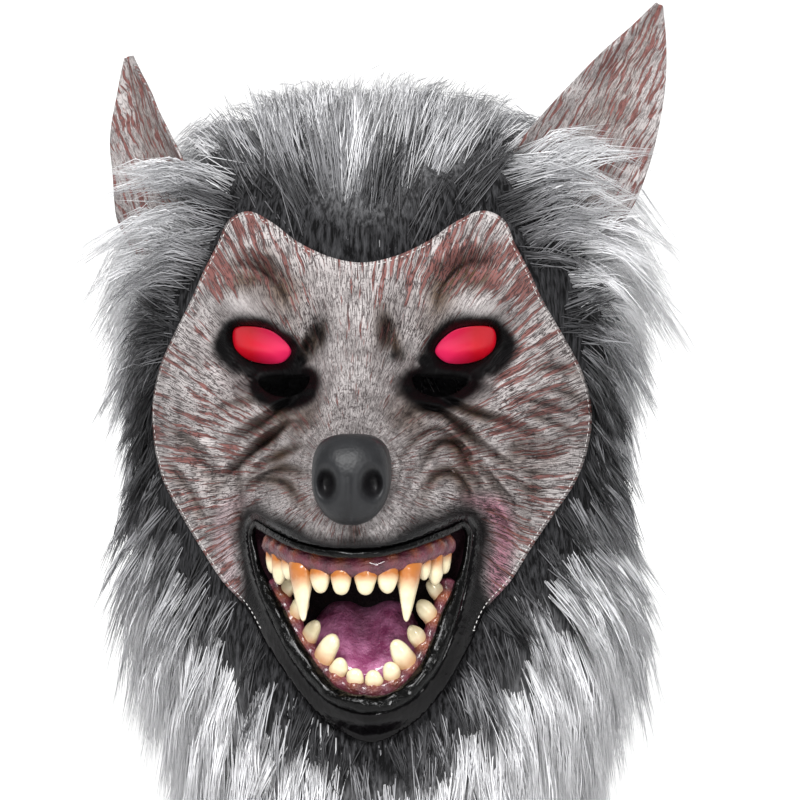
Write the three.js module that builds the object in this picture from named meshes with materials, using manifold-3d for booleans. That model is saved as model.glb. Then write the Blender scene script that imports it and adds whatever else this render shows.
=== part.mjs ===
// A full-head latex wolf mask: a cast latex face with an open, snarling mouth, two latex ears and a
// hollow hood of long faux fur. Millimetres, +Z up, the face towards -Y. The origin is the inside of
// the crown, where the wearer's head meets it. "Left" and "right" are the wearer's own.

import * as THREE from "three";
import { mergeVertices } from "three/addons/utils/BufferGeometryUtils.js";
import Module from "manifold-3d";

const wasm = await Module();
wasm.setup();

// Sizes of the hood
const hoodWidth = 200; // across the cheeks, outside
const hoodFront = 100; // from the crown's axis to the forehead, outside
const hoodBack = 104; // from the crown's axis to the back of the head, outside
const hoodDrop = 310; // from the top of the crown to the hem
const crownDrop = 127; // from the top of the crown down to the widest level
const hoodWall = 2.5;
const crownRoundness = 2.6; // exponent of the crown's arc: 2 is an ellipse, more is squarer
const faceOverlap = 9; // how far the latex face lies over the edge of the hood's face hole

// Sizes of the latex face
const faceWidth = 192;
const faceHeight = 218.5; // from the brow lobes to the edge under the lower lip
const browDrop = 42.5; // from the top of the crown to the brow lobes
const faceWall = 2.5;
const muzzleReach = 59; // how far the muzzle stands ahead of the hood's front
const relief = 10; // scale of the modelled dents and swellings
const edgeBlend = 14; // width of the band where the face comes down to the hood
const jawSkew = 6; // how far the soft jaw hangs towards the wearer's left

// Sizes of the nose, eyes and mouth
const noseWidth = 31;
const noseHeight = 36;
const noseReach = 17; // ahead of the muzzle
const lensBulge = 2.5;
const lensWall = 2.4;
const lipBead = 3.2; // radius of the rounded black lip
const throatDepth = 60; // from the upper lip's front to the back of the mouth
const liningWall = 2;
const gumHeight = 9;
const gumThickness = 8;
const upperToothLength = 12.5;
const upperToothWidth = 9.2;
const lowerToothLength = 12;
const lowerToothWidth = 9.4;
const fangLength = 26;
const fangWidth = 12.5;
const tongueWidth = 46;
const tongueThickness = 9;

// Sizes of the ears and the fur
const earLength = 112;
const earWidth = 66;
const earCup = 16; // how deep the ear's hollow is
const earWall = 3;
const earRoot = 22; // how far the ear's base reaches below its root, down the side of the hood
const furDepth = 20; // scale of the pile's thickness
const lockLength = 52;
const lockWidth = 22;

const seam = 0.4; // clearance between pieces that lie on each other
const fineness = 0.02; // slivers thinner than this are merged away
const reach = 260; // a cutter this long passes right through the mask

// The hood below its widest level, as shares of hoodDrop, hoodWidth / 2, hoodFront and hoodBack
const hoodSections = [
  { down: 0.41, side: 1.0, front: 1.0, back: 1.0 },
  { down: 0.52, side: 0.985, front: 1.03, back: 0.97 },
  { down: 0.63, side: 0.95, front: 1.1, back: 0.89 },
  { down: 0.74, side: 0.91, front: 1.2, back: 0.82 },
  { down: 0.85, side: 0.82, front: 1.27, back: 0.8 },
  { down: 0.94, side: 0.74, front: 1.23, back: 0.82 },
  { down: 1.0, side: 0.7, front: 1.2, back: 0.84 },
];

// The pile's thickness, as shares of furDepth, against shares of hoodDrop
const furSections = [
  { down: 0.0, side: 0.9, front: 0.9, back: 0.9 },
  { down: 0.06, side: 1.75, front: 0.95, back: 1.0 },
  { down: 0.12, side: 1.75, front: 0.85, back: 1.1 },
  { down: 0.2, side: 1.15, front: 0.6, back: 1.2 },
  { down: 0.3, side: 0.85, front: 0.4, back: 1.3 },
  { down: 0.41, side: 0.7, front: 0.35, back: 1.3 },
  { down: 0.52, side: 0.95, front: 0.35, back: 1.3 },
  { down: 0.63, side: 1.15, front: 0.35, back: 1.3 },
  { down: 0.74, side: 0.95, front: 0.4, back: 1.3 },
  { down: 0.85, side: 0.95, front: 0.45, back: 1.2 },
  { down: 0.94, side: 0.8, front: 0.55, back: 1.1 },
  { down: 1.0, side: 0.6, front: 0.5, back: 0.9 },
];

// Half the face's edge, from the notch in the brow round to under the lip: shares of faceWidth / 2
// and faceHeight
const faceEdge = [
  { side: 0.0, down: 0.105 },
  { side: 0.135, down: 0.094 },
  { side: 0.28, down: 0.064 },
  { side: 0.41, down: 0.022 },
  { side: 0.52, down: 0.0 },
  { side: 0.61, down: 0.016 },
  { side: 0.66, down: 0.064 },
  { side: 0.72, down: 0.114 },
  { side: 0.78, down: 0.171 },
  { side: 0.875, down: 0.243 },
  { side: 0.953, down: 0.307 },
  { side: 1.0, down: 0.38 },
  { side: 0.984, down: 0.458 },
  { side: 0.927, down: 0.526 },
  { side: 0.833, down: 0.586 },
  { side: 0.729, down: 0.65 },
  { side: 0.625, down: 0.714 },
  { side: 0.52, down: 0.76 },
  { side: 0.443, down: 0.821 },
  { side: 0.365, down: 0.874 },
  { side: 0.286, down: 0.92 },
  { side: 0.177, down: 0.966 },
  { side: 0.0, down: 1.0 },
];

// Half the edge of the mouth hole, from the middle of the upper lip round to the middle of the jaw
const mouthEdge = [
  { side: 0.0, down: 0.636 },
  { side: 0.12, down: 0.633 },
  { side: 0.24, down: 0.622 },
  { side: 0.36, down: 0.604 },
  { side: 0.45, down: 0.592 },
  { side: 0.485, down: 0.612 },
  { side: 0.47, down: 0.67 },
  { side: 0.43, down: 0.74 },
  { side: 0.365, down: 0.81 },
  { side: 0.285, down: 0.872 },
  { side: 0.165, down: 0.925 },
  { side: 0.0, down: 0.943 },
];

// The muzzle and jaw down the middle line: half width as a share of faceWidth / 2, and reach as a
// share of muzzleReach
const muzzleSections = [
  { down: 0.0, width: 0.3, reach: -0.2 },
  { down: 0.105, width: 0.31, reach: 0.0 },
  { down: 0.183, width: 0.27, reach: 0.1 },
  { down: 0.252, width: 0.25, reach: 0.22 },
  { down: 0.32, width: 0.28, reach: 0.39 },
  { down: 0.389, width: 0.35, reach: 0.61 },
  { down: 0.458, width: 0.46, reach: 0.86 },
  { down: 0.526, width: 0.56, reach: 0.97 },
  { down: 0.595, width: 0.6, reach: 1.0 },
  { down: 0.65, width: 0.61, reach: 0.95 },
  { down: 0.732, width: 0.61, reach: 0.8 },
  { down: 0.819, width: 0.61, reach: 0.69 },
  { down: 0.92, width: 0.61, reach: 0.65 },
  { down: 1.05, width: 0.61, reach: 0.62 },
];

// Swellings and dents of the face, on both sides: place and radii as shares of the face, turn in
// degrees, rise as a share of relief
const swellings = [
  { name: "brow lobe", side: 0.52, down: 0.069, wide: 0.21, tall: 0.082, turn: 0, rise: 0.8 },
  { name: "lid pillow", side: 0.49, down: 0.185, wide: 0.18, tall: 0.038, turn: 12, rise: 1.0 },
  { name: "hollow over the lid", side: 0.46, down: 0.122, wide: 0.17, tall: 0.04, turn: 8, rise: -0.8 },
  { name: "eye socket", side: 0.42, down: 0.285, wide: 0.22, tall: 0.052, turn: 12, rise: -1.6 },
  { name: "frown furrow", side: 0.17, down: 0.24, wide: 0.07, tall: 0.05, turn: -18, rise: -0.5 },
  { name: "cheekbone", side: 0.7, down: 0.35, wide: 0.2, tall: 0.07, turn: 0, rise: 0.9 },
  { name: "snarl ridge", side: 0.37, down: 0.395, wide: 0.14, tall: 0.035, turn: 30, rise: 0.6 },
  { name: "snarl valley", side: 0.35, down: 0.45, wide: 0.14, tall: 0.035, turn: 25, rise: -0.5 },
  { name: "whisker pad", side: 0.33, down: 0.56, wide: 0.15, tall: 0.042, turn: 0, rise: 0.9 },
  { name: "cheek valley", side: 0.55, down: 0.53, wide: 0.09, tall: 0.09, turn: -25, rise: -0.5 },
  { name: "jowl", side: 0.68, down: 0.52, wide: 0.12, tall: 0.06, turn: -30, rise: 0.5 },
];

// The eye's opening: the lens fills its upper part and the wearer looks out under it
const lensOutline = [
  { side: 0.31, down: 0.272 },
  { side: 0.38, down: 0.236 },
  { side: 0.47, down: 0.224 },
  { side: 0.57, down: 0.228 },
  { side: 0.578, down: 0.262 },
  { side: 0.53, down: 0.286 },
  { side: 0.44, down: 0.298 },
  { side: 0.35, down: 0.294 },
];
const peepOutline = [
  { side: 0.225, down: 0.32 },
  { side: 0.31, down: 0.317 },
  { side: 0.4, down: 0.318 },
  { side: 0.46, down: 0.328 },
  { side: 0.41, down: 0.352 },
  { side: 0.32, down: 0.36 },
  { side: 0.24, down: 0.345 },
];

// The teeth on one side, in the order in which they take their room: place along the gum as a share
// of its half length, size as shares of the tooth sizes, and lean towards the back in degrees
const upperTeeth = [
  { name: "fang", along: 0.46, kind: "fang", long: 1.0, wide: 1.0, lean: 4 },
  { name: "incisor_1", along: 0.088, kind: "tooth", long: 0.95, wide: 0.95, lean: 0 },
  { name: "incisor_2", along: 0.265, kind: "tooth", long: 1.0, wide: 0.95, lean: 3 },
  { name: "premolar", along: 0.625, kind: "tooth", long: 0.9, wide: 0.75, lean: 0 },
  { name: "molar_1", along: 0.775, kind: "tooth", long: 1.2, wide: 0.9, lean: 0 },
  { name: "molar_2", along: 0.92, kind: "tooth", long: 0.95, wide: 0.75, lean: 0 },
];
const lowerTeeth = [
  { name: "incisor_1", along: 0.065, kind: "tooth", long: 0.75, wide: 0.85, lean: 0 },
  { name: "incisor_2", along: 0.2, kind: "tooth", long: 0.85, wide: 0.85, lean: 0 },
  { name: "fang", along: 0.345, kind: "tooth", long: 1.25, wide: 1.0, lean: 4 },
  { name: "premolar", along: 0.51, kind: "tooth", long: 1.0, wide: 1.0, lean: 0 },
  { name: "molar_1", along: 0.69, kind: "tooth", long: 1.05, wide: 1.0, lean: 0 },
  { name: "molar_2", along: 0.86, kind: "tooth", long: 0.9, wide: 0.9, lean: 0 },
];

// The line that each gum follows on one side: shares of the face, and how many lip beads behind
// the lips
const upperGumRows = [
  { side: 0.0, down: 0.668, back: 2.3 },
  { side: 0.11, down: 0.665, back: 2.3 },
  { side: 0.24, down: 0.653, back: 2.4 },
  { side: 0.33, down: 0.641, back: 2.6 },
  { side: 0.385, down: 0.634, back: 2.9 },
];
const lowerGumRows = [
  { side: 0.0, down: 0.905, back: 3.2 },
  { side: 0.12, down: 0.892, back: 3.2 },
  { side: 0.22, down: 0.85, back: 3.2 },
  { side: 0.3, down: 0.79, back: 3.3 },
  { side: 0.345, down: 0.745, back: 3.4 },
  { side: 0.375, down: 0.7, back: 3.5 },
];

// The tongue from the throat to its tip: shares of its width and thickness
const tongueSections = [
  { along: -0.1, wide: 0.7, thick: 0.9, rise: 0 },
  { along: 0.25, wide: 0.95, thick: 1.0, rise: 0.1 },
  { along: 0.55, wide: 1.0, thick: 0.85, rise: 0.05 },
  { along: 0.8, wide: 0.8, thick: 0.6, rise: 0.0 },
  { along: 0.95, wide: 0.5, thick: 0.4, rise: 0.05 },
  { along: 1.0, wide: 0.25, thick: 0.15, rise: 0.1 },
];

// The ear from its base to its tip: shares of earLength, earWidth and earCup
const earSections = [
  { along: 0.0, inner: 0.3, outer: 0.1, cup: 0.5 },
  { along: 0.15, inner: 0.47, outer: 0.35, cup: 0.9 },
  { along: 0.3, inner: 0.51, outer: 0.43, cup: 1.0 },
  { along: 0.45, inner: 0.44, outer: 0.42, cup: 0.9 },
  { along: 0.6, inner: 0.34, outer: 0.37, cup: 0.7 },
  { along: 0.76, inner: 0.22, outer: 0.28, cup: 0.5 },
  { along: 0.89, inner: 0.1, outer: 0.17, cup: 0.25 },
  { along: 1.0, inner: 0.01, outer: 0.05, cup: 0.05 },
];

// The ears differ, because soft latex ears flop each its own way: where the ear is rooted, as an
// angle round the hood and a share of its drop, and how it stands
const ears = [
  { name: "ear_left", sign: 1, angle: 74, down: 0.135, long: 0.91, wide: 0.92, outward: 25, twist: 8 },
  { name: "ear_right", sign: -1, angle: 72, down: 0.15, long: 0.7, wide: 0.8, outward: 17, twist: 38 },
];

// Rows of fur locks round the hood: shares of hoodDrop and of the lock sizes
const lockRows = [
  { down: 0.035, count: 5, long: 0.8, wide: 1.4, lift: 0.12 },
  { down: 0.11, count: 8, long: 1.0, wide: 1.6, lift: 0.24 },
  { down: 0.23, count: 8, long: 1.05, wide: 1.7, lift: 0.26 },
  { down: 0.37, count: 8, long: 1.1, wide: 1.7, lift: 0.26 },
  { down: 0.52, count: 9, long: 1.15, wide: 1.7, lift: 0.24 },
  { down: 0.67, count: 9, long: 1.2, wide: 1.7, lift: 0.22 },
  { down: 0.82, count: 10, long: 1.2, wide: 1.6, lift: 0.14 },
  { down: 0.955, count: 12, long: 1.0, wide: 1.5, lift: 0.06 },
];

const noseDrop = 0.51; // the nose's middle, as a share of the face's height
const throatDrop = 0.77; // the throat's middle, likewise
const crownTop = hoodWall; // the crown's inside is the origin
const faceTop = crownTop - browDrop;
const degrees = Math.PI / 180;
const clamp = (value, low, high) => Math.min(high, Math.max(low, value));
const smooth = (t) => clamp(t, 0, 1) ** 2 * (3 - 2 * clamp(t, 0, 1));
const point = (x, y, z) => new THREE.Vector3(x, y, z);

// The value of a table's column at a share down, smooth through its rows
function across(table, column, down) {
  const last = table.length - 2;
  const found = table.findIndex((row, i) => i <= last && down < table[i + 1].down);
  const i = found < 0 ? last : found;
  const [a, b] = [table[i], table[i + 1]];
  const t = clamp((down - a.down) / (b.down - a.down), 0, 1);
  const slope = (one, other) => (other[column] - one[column]) / (other.down - one.down);
  const here = slope(a, b);
  const before = i > 0 ? (slope(table[i - 1], a) + here) / 2 : here;
  const after = i < last ? (slope(b, table[i + 2]) + here) / 2 : here;
  const span = b.down - a.down;
  return (
    a[column] * (1 + 2 * t) * (1 - t) ** 2 +
    b[column] * t * t * (3 - 2 * t) +
    span * (before * t * (1 - t) ** 2 - after * t * t * (1 - t))
  );
}

// A three.js geometry as a manifold solid, and back
function solid(geometry) {
  const bare = new THREE.BufferGeometry();
  bare.setAttribute("position", geometry.getAttribute("position"));
  bare.setIndex(geometry.getIndex());
  const merged = mergeVertices(bare, 1e-4);
  const made = new wasm.Manifold(
    new wasm.Mesh({
      numProp: 3,
      vertProperties: new Float32Array(merged.attributes.position.array),
      triVerts: new Uint32Array(merged.index.array),
    }),
  );
  if (made.volume() > 0) return made;
  const turned = new Uint32Array(merged.index.array);
  for (let i = 0; i < turned.length; i += 3) {
    [turned[i], turned[i + 1]] = [turned[i + 1], turned[i]];
  }
  return new wasm.Manifold(
    new wasm.Mesh({
      numProp: 3,
      vertProperties: new Float32Array(merged.attributes.position.array),
      triVerts: turned,
    }),
  );
}

function geometryOf(made) {
  const mesh = made.getMesh();
  const geometry = new THREE.BufferGeometry();
  const places = new Float32Array(mesh.numVert * 3);
  for (let i = 0; i < mesh.numVert; i++) {
    places.set(mesh.vertProperties.subarray(i * mesh.numProp, i * mesh.numProp + 3), i * 3);
  }
  geometry.setAttribute("position", new THREE.BufferAttribute(places, 3));
  geometry.setIndex(new THREE.BufferAttribute(new Uint32Array(mesh.triVerts), 1));
  geometry.computeVertexNormals();
  return geometry;
}

// A closed solid through rings of points: the rings are joined in order along the shorter diagonals,
// and its ends are capped, or joined to each other where the solid is a ring itself
function loft(rings, joined = false) {
  const count = rings[0].length;
  const places = rings.flat().flatMap((p) => [p.x, p.y, p.z]);
  const faces = [];
  const steps = joined ? rings.length : rings.length - 1;
  for (let r = 0; r < steps; r++) {
    const [here, next] = [r * count, ((r + 1) % rings.length) * count];
    for (let c = 0; c < count; c++) {
      const d = (c + 1) % count;
      const [p, q] = [rings[r], rings[(r + 1) % rings.length]];
      if (p[c].distanceTo(q[d]) <= p[d].distanceTo(q[c])) {
        faces.push(here + c, here + d, next + d, here + c, next + d, next + c);
      } else {
        faces.push(here + c, here + d, next + c, here + d, next + d, next + c);
      }
    }
  }
  if (!joined) {
    for (const [ring, start, back] of [
      [rings[0], 0, true],
      [rings.at(-1), (rings.length - 1) * count, false],
    ]) {
      const middle = centre(ring);
      const at = places.length / 3;
      places.push(middle.x, middle.y, middle.z);
      for (let c = 0; c < count; c++) {
        const d = (c + 1) % count;
        faces.push(...(back ? [at, start + d, start + c] : [at, start + c, start + d]));
      }
    }
  }
  const geometry = new THREE.BufferGeometry();
  geometry.setAttribute("position", new THREE.BufferAttribute(new Float32Array(places), 3));
  geometry.setIndex(faces);
  return solid(geometry);
}

// The biggest piece of a cut solid, without the slivers that a cut can leave
function largest(made) {
  return made.decompose().reduce((best, piece) => (piece.volume() > best.volume() ? piece : best));
}

function centre(points) {
  return points.reduce((sum, p) => sum.add(p), point(0, 0, 0)).divideScalar(points.length);
}

// A closed sheet: a grid of front points and the matching grid of back points, with a rim between
function sheet(front, back) {
  const rings = front.map((row, i) => [...row, ...[...back[i]].reverse()]);
  return loft(rings);
}

// A closed outline in x and z, pushed along Y from one depth to another
function prism(outline, from, to) {
  const shape = new THREE.Shape(outline.map((p) => new THREE.Vector2(p.x, p.z)));
  const geometry = new THREE.ExtrudeGeometry(shape, { depth: to - from, bevelEnabled: false });
  geometry.rotateX(Math.PI / 2);
  geometry.translate(0, to, 0);
  return solid(geometry);
}

// The closed outline of a half table, mirrored, smoothed and grown outwards by a margin
function outline(half, steps, grow = 0) {
  const right = half.map((row) => placed(row.side, row.down));
  const left = half.slice(1, -1).reverse().map((row) => placed(-row.side, row.down));
  return grown(new THREE.CatmullRomCurve3([...right, ...left], true).getSpacedPoints(steps), grow);
}

// A closed outline on one side of the face
function patch(rows, sign, steps, grow = 0) {
  const points = rows.map((row) => placed(sign * row.side, row.down));
  return grown(new THREE.CatmullRomCurve3(points, true).getSpacedPoints(steps), grow);
}

function grown(spaced, grow) {
  const points = spaced.slice(0, -1);
  const area = points.reduce((sum, p, i) => {
    const q = points[(i + 1) % points.length];
    return sum + p.x * q.z - q.x * p.z;
  }, 0);
  return points.map((p, i) => {
    const before = points[(i + points.length - 1) % points.length];
    const after = points[(i + 1) % points.length];
    const along = after.clone().sub(before).normalize();
    return point(p.x + Math.sign(area) * grow * along.z, 0, p.z - Math.sign(area) * grow * along.x);
  });
}

// Face shares to millimetres. The soft jaw hangs a little to one side, and what is round it too.
const sideOf = (side) => (side * faceWidth) / 2;
const dropOf = (down) => faceTop - down * faceHeight;
const placed = (side, down) => point(sideOf(side) + sway(dropOf(down)), 0, dropOf(down));

function sway(z) {
  const start = dropOf(noseDrop + 0.08);
  return jawSkew * smooth((start - z) / (start - dropOf(1)));
}

// Half width, front and back of the hood at a height
function hoodSize(z) {
  const drop = crownTop - z;
  const crown = clamp((crownDrop - drop) / crownDrop, 0, 1);
  const arc = (1 - crown ** crownRoundness) ** (1 / crownRoundness);
  const down = Math.max(hoodSections[0].down, drop / hoodDrop);
  return {
    side: (arc * across(hoodSections, "side", down) * hoodWidth) / 2,
    front: arc * across(hoodSections, "front", down) * hoodFront,
    back: arc * across(hoodSections, "back", down) * hoodBack,
  };
}

// A point of the hood's outside, moved out by a lift, and the way out there: angle 0 is the front
// and 90 the wearer's left
function hoodPoint(angle, z, lift = 0) {
  const place = (turn, height) => {
    const size = hoodSize(height);
    const depth = Math.cos(turn) > 0 ? size.front : size.back;
    return point(size.side * Math.sin(turn) + sway(height), -depth * Math.cos(turn), height);
  };
  const round = place(angle + 0.02, z).sub(place(angle - 0.02, z));
  const normal = place(angle, z + 0.05).sub(place(angle, z - 0.05)).cross(round).normalize().negate();
  return { at: place(angle, z).addScaledVector(normal, lift), normal };
}

// How far the hood's front reaches at a place of the front view
function hoodReach(x, z) {
  const size = hoodSize(z);
  return size.front * Math.sqrt(Math.max(0.03, 1 - (x / Math.max(size.side, 1)) ** 2));
}

// Heights of the hood's rings, closer together near the crown
const hoodHeights = Array.from({ length: 11 }, (_, i) => {
  const t = i / 10;
  const drop = crownDrop * Math.max(1e-3, 1 - Math.cos(t * Math.PI * 0.5));
  return crownTop - drop - (hoodDrop - crownDrop) * t ** 2;
});

// The hood's outside as a full solid, moved out by a lift and lengthened below its hem
function hoodBody(lift = 0, below = 0) {
  const columns = 20;
  const ring = (z, drop = 0) =>
    Array.from({ length: columns }, (_, c) => {
      const p = hoodPoint((c / columns) * 2 * Math.PI, z, lift).at;
      return point(p.x, p.y, p.z - drop);
    });
  const rings = hoodHeights.map((z) => ring(z));
  return loft(below > 0 ? [...rings, ring(hoodHeights.at(-1), below)] : rings);
}

// Signed distance to a closed outline, positive inside
function inside(edge, x, z) {
  let nearest = Infinity;
  let within = false;
  edge.forEach((a, i) => {
    const b = edge[(i + 1) % edge.length];
    const [dx, dz] = [b.x - a.x, b.z - a.z];
    const t = clamp(((x - a.x) * dx + (z - a.z) * dz) / (dx * dx + dz * dz), 0, 1);
    nearest = Math.min(nearest, Math.hypot(x - a.x - t * dx, z - a.z - t * dz));
    if (a.z > z !== b.z > z && x < ((b.x - a.x) * (z - a.z)) / (b.z - a.z) + a.x) within = !within;
  });
  return within ? nearest : -nearest;
}

const edgeSteps = 72;
const faceOutline = outline(faceEdge, edgeSteps);
const mouthSteps = 30;
const mouthOutline = outline(mouthEdge, mouthSteps);

// How far the latex face reaches forwards at a place of the front view
function faceReach(place, z) {
  const x = place - sway(z);
  const down = (faceTop - z) / faceHeight;
  const ground = hoodReach(x, z) + seam + faceWall;
  const width = across(muzzleSections, "width", down) * (faceWidth / 2);
  const middle = hoodFront + across(muzzleSections, "reach", down) * muzzleReach;
  const share = Math.max(0, 1 - Math.abs(x / width) ** 2.4) ** 2;
  const muzzle = (middle - hoodReach(0, z)) * share;
  const bumps = swellings.reduce((sum, s) => {
    const [dx, dz] = [Math.abs(x) - sideOf(s.side), (s.down - down) * faceHeight];
    const [c, n] = [Math.cos(s.turn * degrees), Math.sin(s.turn * degrees)];
    const [u, v] = [(dx * c + dz * n) / sideOf(s.wide), (dz * c - dx * n) / (s.tall * faceHeight)];
    return sum + s.rise * relief * Math.exp(-u * u - v * v);
  }, 0);
  return ground + (muzzle + bumps) * smooth(inside(faceOutline, place, z) / edgeBlend);
}

// A point of the face's front, moved out along its normal
function raised(x, z, lift) {
  const step = 1;
  const slopeX = (faceReach(x + step, z) - faceReach(x - step, z)) / (2 * step);
  const slopeZ = (faceReach(x, z + step) - faceReach(x, z - step)) / (2 * step);
  const normal = point(-slopeX, -1, -slopeZ).normalize();
  return point(x, -faceReach(x, z), z).addScaledVector(normal, lift);
}

// The face's front over the whole of its outline, moved out by a lift
function facePoints(lift) {
  const [columns, rows, margin] = [22, 23, 1.04];
  return Array.from({ length: rows + 1 }, (_, r) => {
    const z = dropOf((1 - margin) / 2 + (margin * r) / rows);
    return Array.from({ length: columns + 1 }, (_, c) => {
      const t = (2 * c) / columns - 1;
      return raised(sideOf(margin * t * (0.72 + 0.28 * Math.abs(t))) + sway(z), z, lift);
    });
  });
}

// The face's sheet before its outline is cut, grown by a margin on both sides
const faceSheet = (grow) => sheet(facePoints(grow), facePoints(-faceWall - grow));

function makeFace() {
  const holes = [1, -1].flatMap((sign) => [
    prism(patch(lensOutline, sign, 16), -reach, 0),
    prism(patch(peepOutline, sign, 16), -reach, 0),
  ]);
  return largest(
    holes
      .reduce((face, hole) => face.subtract(hole), faceSheet(0).intersect(prism(faceOutline, -reach, 0)))
      .subtract(prism(mouthOutline, -reach, 0))
      .subtract(hoodBody(seam).subtract(faceHole(seam))),
  );
}

// The hole in the hood behind the face, smaller by a margin
const faceHole = (margin = 0) => prism(outline(faceEdge, 48, -faceOverlap - margin), -reach, 0);

// The hood: a shell over the whole head, open below and where the face goes
function makeHood() {
  return hoodBody()
    .subtract(hoodBody(-hoodWall, hoodWall))
    .subtract(faceHole());
}

// A blunt rubber nose, narrower below, with two nostrils, on the end of the muzzle
function makeNose() {
  const z = dropOf(noseDrop);
  const y = -faceReach(0, z);
  const rings = [-0.9, 0, 0.45, 0.8, 0.95, 1].map((t) => {
    const size = t < 0 ? 1 : Math.max(0.15, (1 - t ** 2.6) ** 0.5);
    return Array.from({ length: 14 }, (_, c) => {
      const turn = (c / 14) * 2 * Math.PI;
      const up = Math.sin(turn);
      const narrow = up < 0 ? 1 - 0.4 * up * up : 1;
      const square = (Math.abs(up) ** 3 + Math.abs(Math.cos(turn)) ** 3) ** (-1 / 3);
      return point(
        (noseWidth / 2) * Math.cos(turn) * square * narrow * size,
        y - noseReach * t,
        z + (noseHeight / 2) * up * square * size,
      );
    });
  });
  const nostrils = [1, -1].map((sign) => {
    const bore = new THREE.SphereGeometry(1, 8, 6);
    bore.scale(noseWidth * 0.12, noseReach * 0.5, noseHeight * 0.15);
    bore.rotateY(sign * -20 * degrees);
    bore.translate(sign * noseWidth * 0.29, y - noseReach * 0.78, z - noseHeight * 0.04);
    return solid(bore);
  });
  return largest(
    nostrils.reduce((nose, bore) => nose.subtract(bore), loft(rings)).subtract(faceSheet(seam)),
  );
}

// A domed lens that fills its hole in the face
function makeLens(sign) {
  const edge = patch(lensOutline, sign, 16, -seam);
  const middle = centre(edge);
  const ring = (share, lift) =>
    edge.map((p) => {
      const [x, z] = [middle.x + (p.x - middle.x) * share, middle.z + (p.z - middle.z) * share];
      const y = faceReach(p.x, p.z) * share + faceReach(middle.x, middle.z) * (1 - share);
      return point(x, -y - lift - lensBulge * (1 - share * share), z);
    });
  const shares = [0.05, 0.6, 1];
  return loft([
    ...shares.map((share) => ring(share, -lensWall)),
    ...shares.reverse().map((share) => ring(share, 0)),
  ]);
}

// The bead of rubber round the mouth: thin under the nose and full along the jaw
const lipLine = (() => {
  const edge = outline(mouthEdge, mouthSteps, -seam);
  return edge.map((p, i) => {
    const along = edge[(i + 1) % edge.length].clone().sub(edge[(i + edge.length - 1) % edge.length]);
    const out = point(-along.z, 0, along.x).normalize();
    const outward = inside(mouthOutline, p.x + out.x, p.z + out.z) < 0 ? out : out.negate();
    const radius = lipBead * (0.5 + 0.6 * smooth((dropOf(0.66) - p.z) / (0.12 * faceHeight)));
    const middle = point(p.x - outward.x * radius, 0, p.z - outward.z * radius);
    middle.y = -faceReach(middle.x, middle.z) + faceWall / 2;
    return { middle, out: outward, radius };
  });
})();

function makeLips(grow = 0) {
  const rings = lipLine.map(({ middle, out, radius }) =>
    Array.from({ length: 6 }, (_, c) => {
      const turn = ((c + 0.5) / 6) * 2 * Math.PI;
      const size = radius + grow;
      const spot = middle.clone().addScaledVector(out, size * Math.cos(turn));
      return spot.add(point(0, size * 1.3 * Math.sin(turn), 0));
    }),
  );
  return loft(rings, true);
}

// The middle of the back of the mouth
function throat() {
  const lip = placed(0, mouthEdge[0].down);
  return placed(0, throatDrop).setY(throatDepth - faceReach(lip.x, lip.z));
}

// The space behind the lips as a solid that narrows to the throat, moved out by a lift and
// lengthened forwards
function pocket(lift, forward = 0) {
  const middle = throat();
  const ring = (t, ahead) =>
    lipLine.map(({ middle: lip, out, radius }) => {
      const share = 0.1 + 0.9 * Math.cos(t * Math.PI * 0.5) ** 0.7;
      const q = lip.clone().addScaledVector(out, radius + lift);
      const rim = lip.y + radius * 1.3 + seam;
      const y = rim + (middle.y - rim) * Math.sin(t * Math.PI * 0.5) + lift * t - ahead;
      return point(middle.x + (q.x - middle.x) * share, y, middle.z + (q.z - middle.z) * share);
    });
  const rings = [0, 0.4, 0.75, 1].map((t) => ring(t, 0));
  return loft(forward > 0 ? [ring(0, forward), ...rings] : rings);
}

const mouthSpace = pocket(-liningWall - seam, muzzleReach);
const lipsGrown = makeLips(seam * 2);

function makeLining() {
  return largest(pocket(0).subtract(pocket(-liningWall, liningWall * 4)).subtract(makeLips(seam)));
}

// What a gum follows: half a table, mirrored, set back from the lips
function archOf(rows) {
  const half = (sign) =>
    rows.map((row) => {
      const at = placed(sign * row.side, row.down);
      return at.setY(row.back * lipBead - faceReach(at.x, at.z));
    });
  return new THREE.CatmullRomCurve3([...half(-1).slice(1).reverse(), ...half(1)]);
}

const upperArch = archOf(upperGumRows);
const lowerArch = archOf(lowerGumRows);

function gumBar(arch, grow = 0) {
  const steps = 16;
  const rings = Array.from({ length: steps + 1 }, (_, i) => {
    const at = arch.getPointAt(i / steps);
    const along = arch.getTangentAt(i / steps);
    const back = point(-along.y, along.x, 0).normalize();
    const up = along.clone().cross(back).normalize();
    return Array.from({ length: 6 }, (_, c) => {
      const turn = ((c + 0.5) / 6) * 2 * Math.PI;
      return at
        .clone()
        .addScaledVector(back, (gumThickness / 2 + grow) * Math.sin(turn))
        .addScaledVector(up, (gumHeight / 2 + grow) * Math.cos(turn));
    });
  });
  return loft(rings);
}

const makeGum = (arch) => largest(gumBar(arch).intersect(mouthSpace).subtract(lipsGrown));

// How a tooth tapers: height and width as shares of its length and width
const taper = {
  tooth: [
    { high: -0.25, wide: 0.9 },
    { high: 0.55, wide: 1 },
    { high: 1, wide: 0.4 },
  ],
  fang: [
    { high: -0.12, wide: 0.95 },
    { high: 0.4, wide: 0.9 },
    { high: 1, wide: 0.1 },
  ],
};

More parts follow.
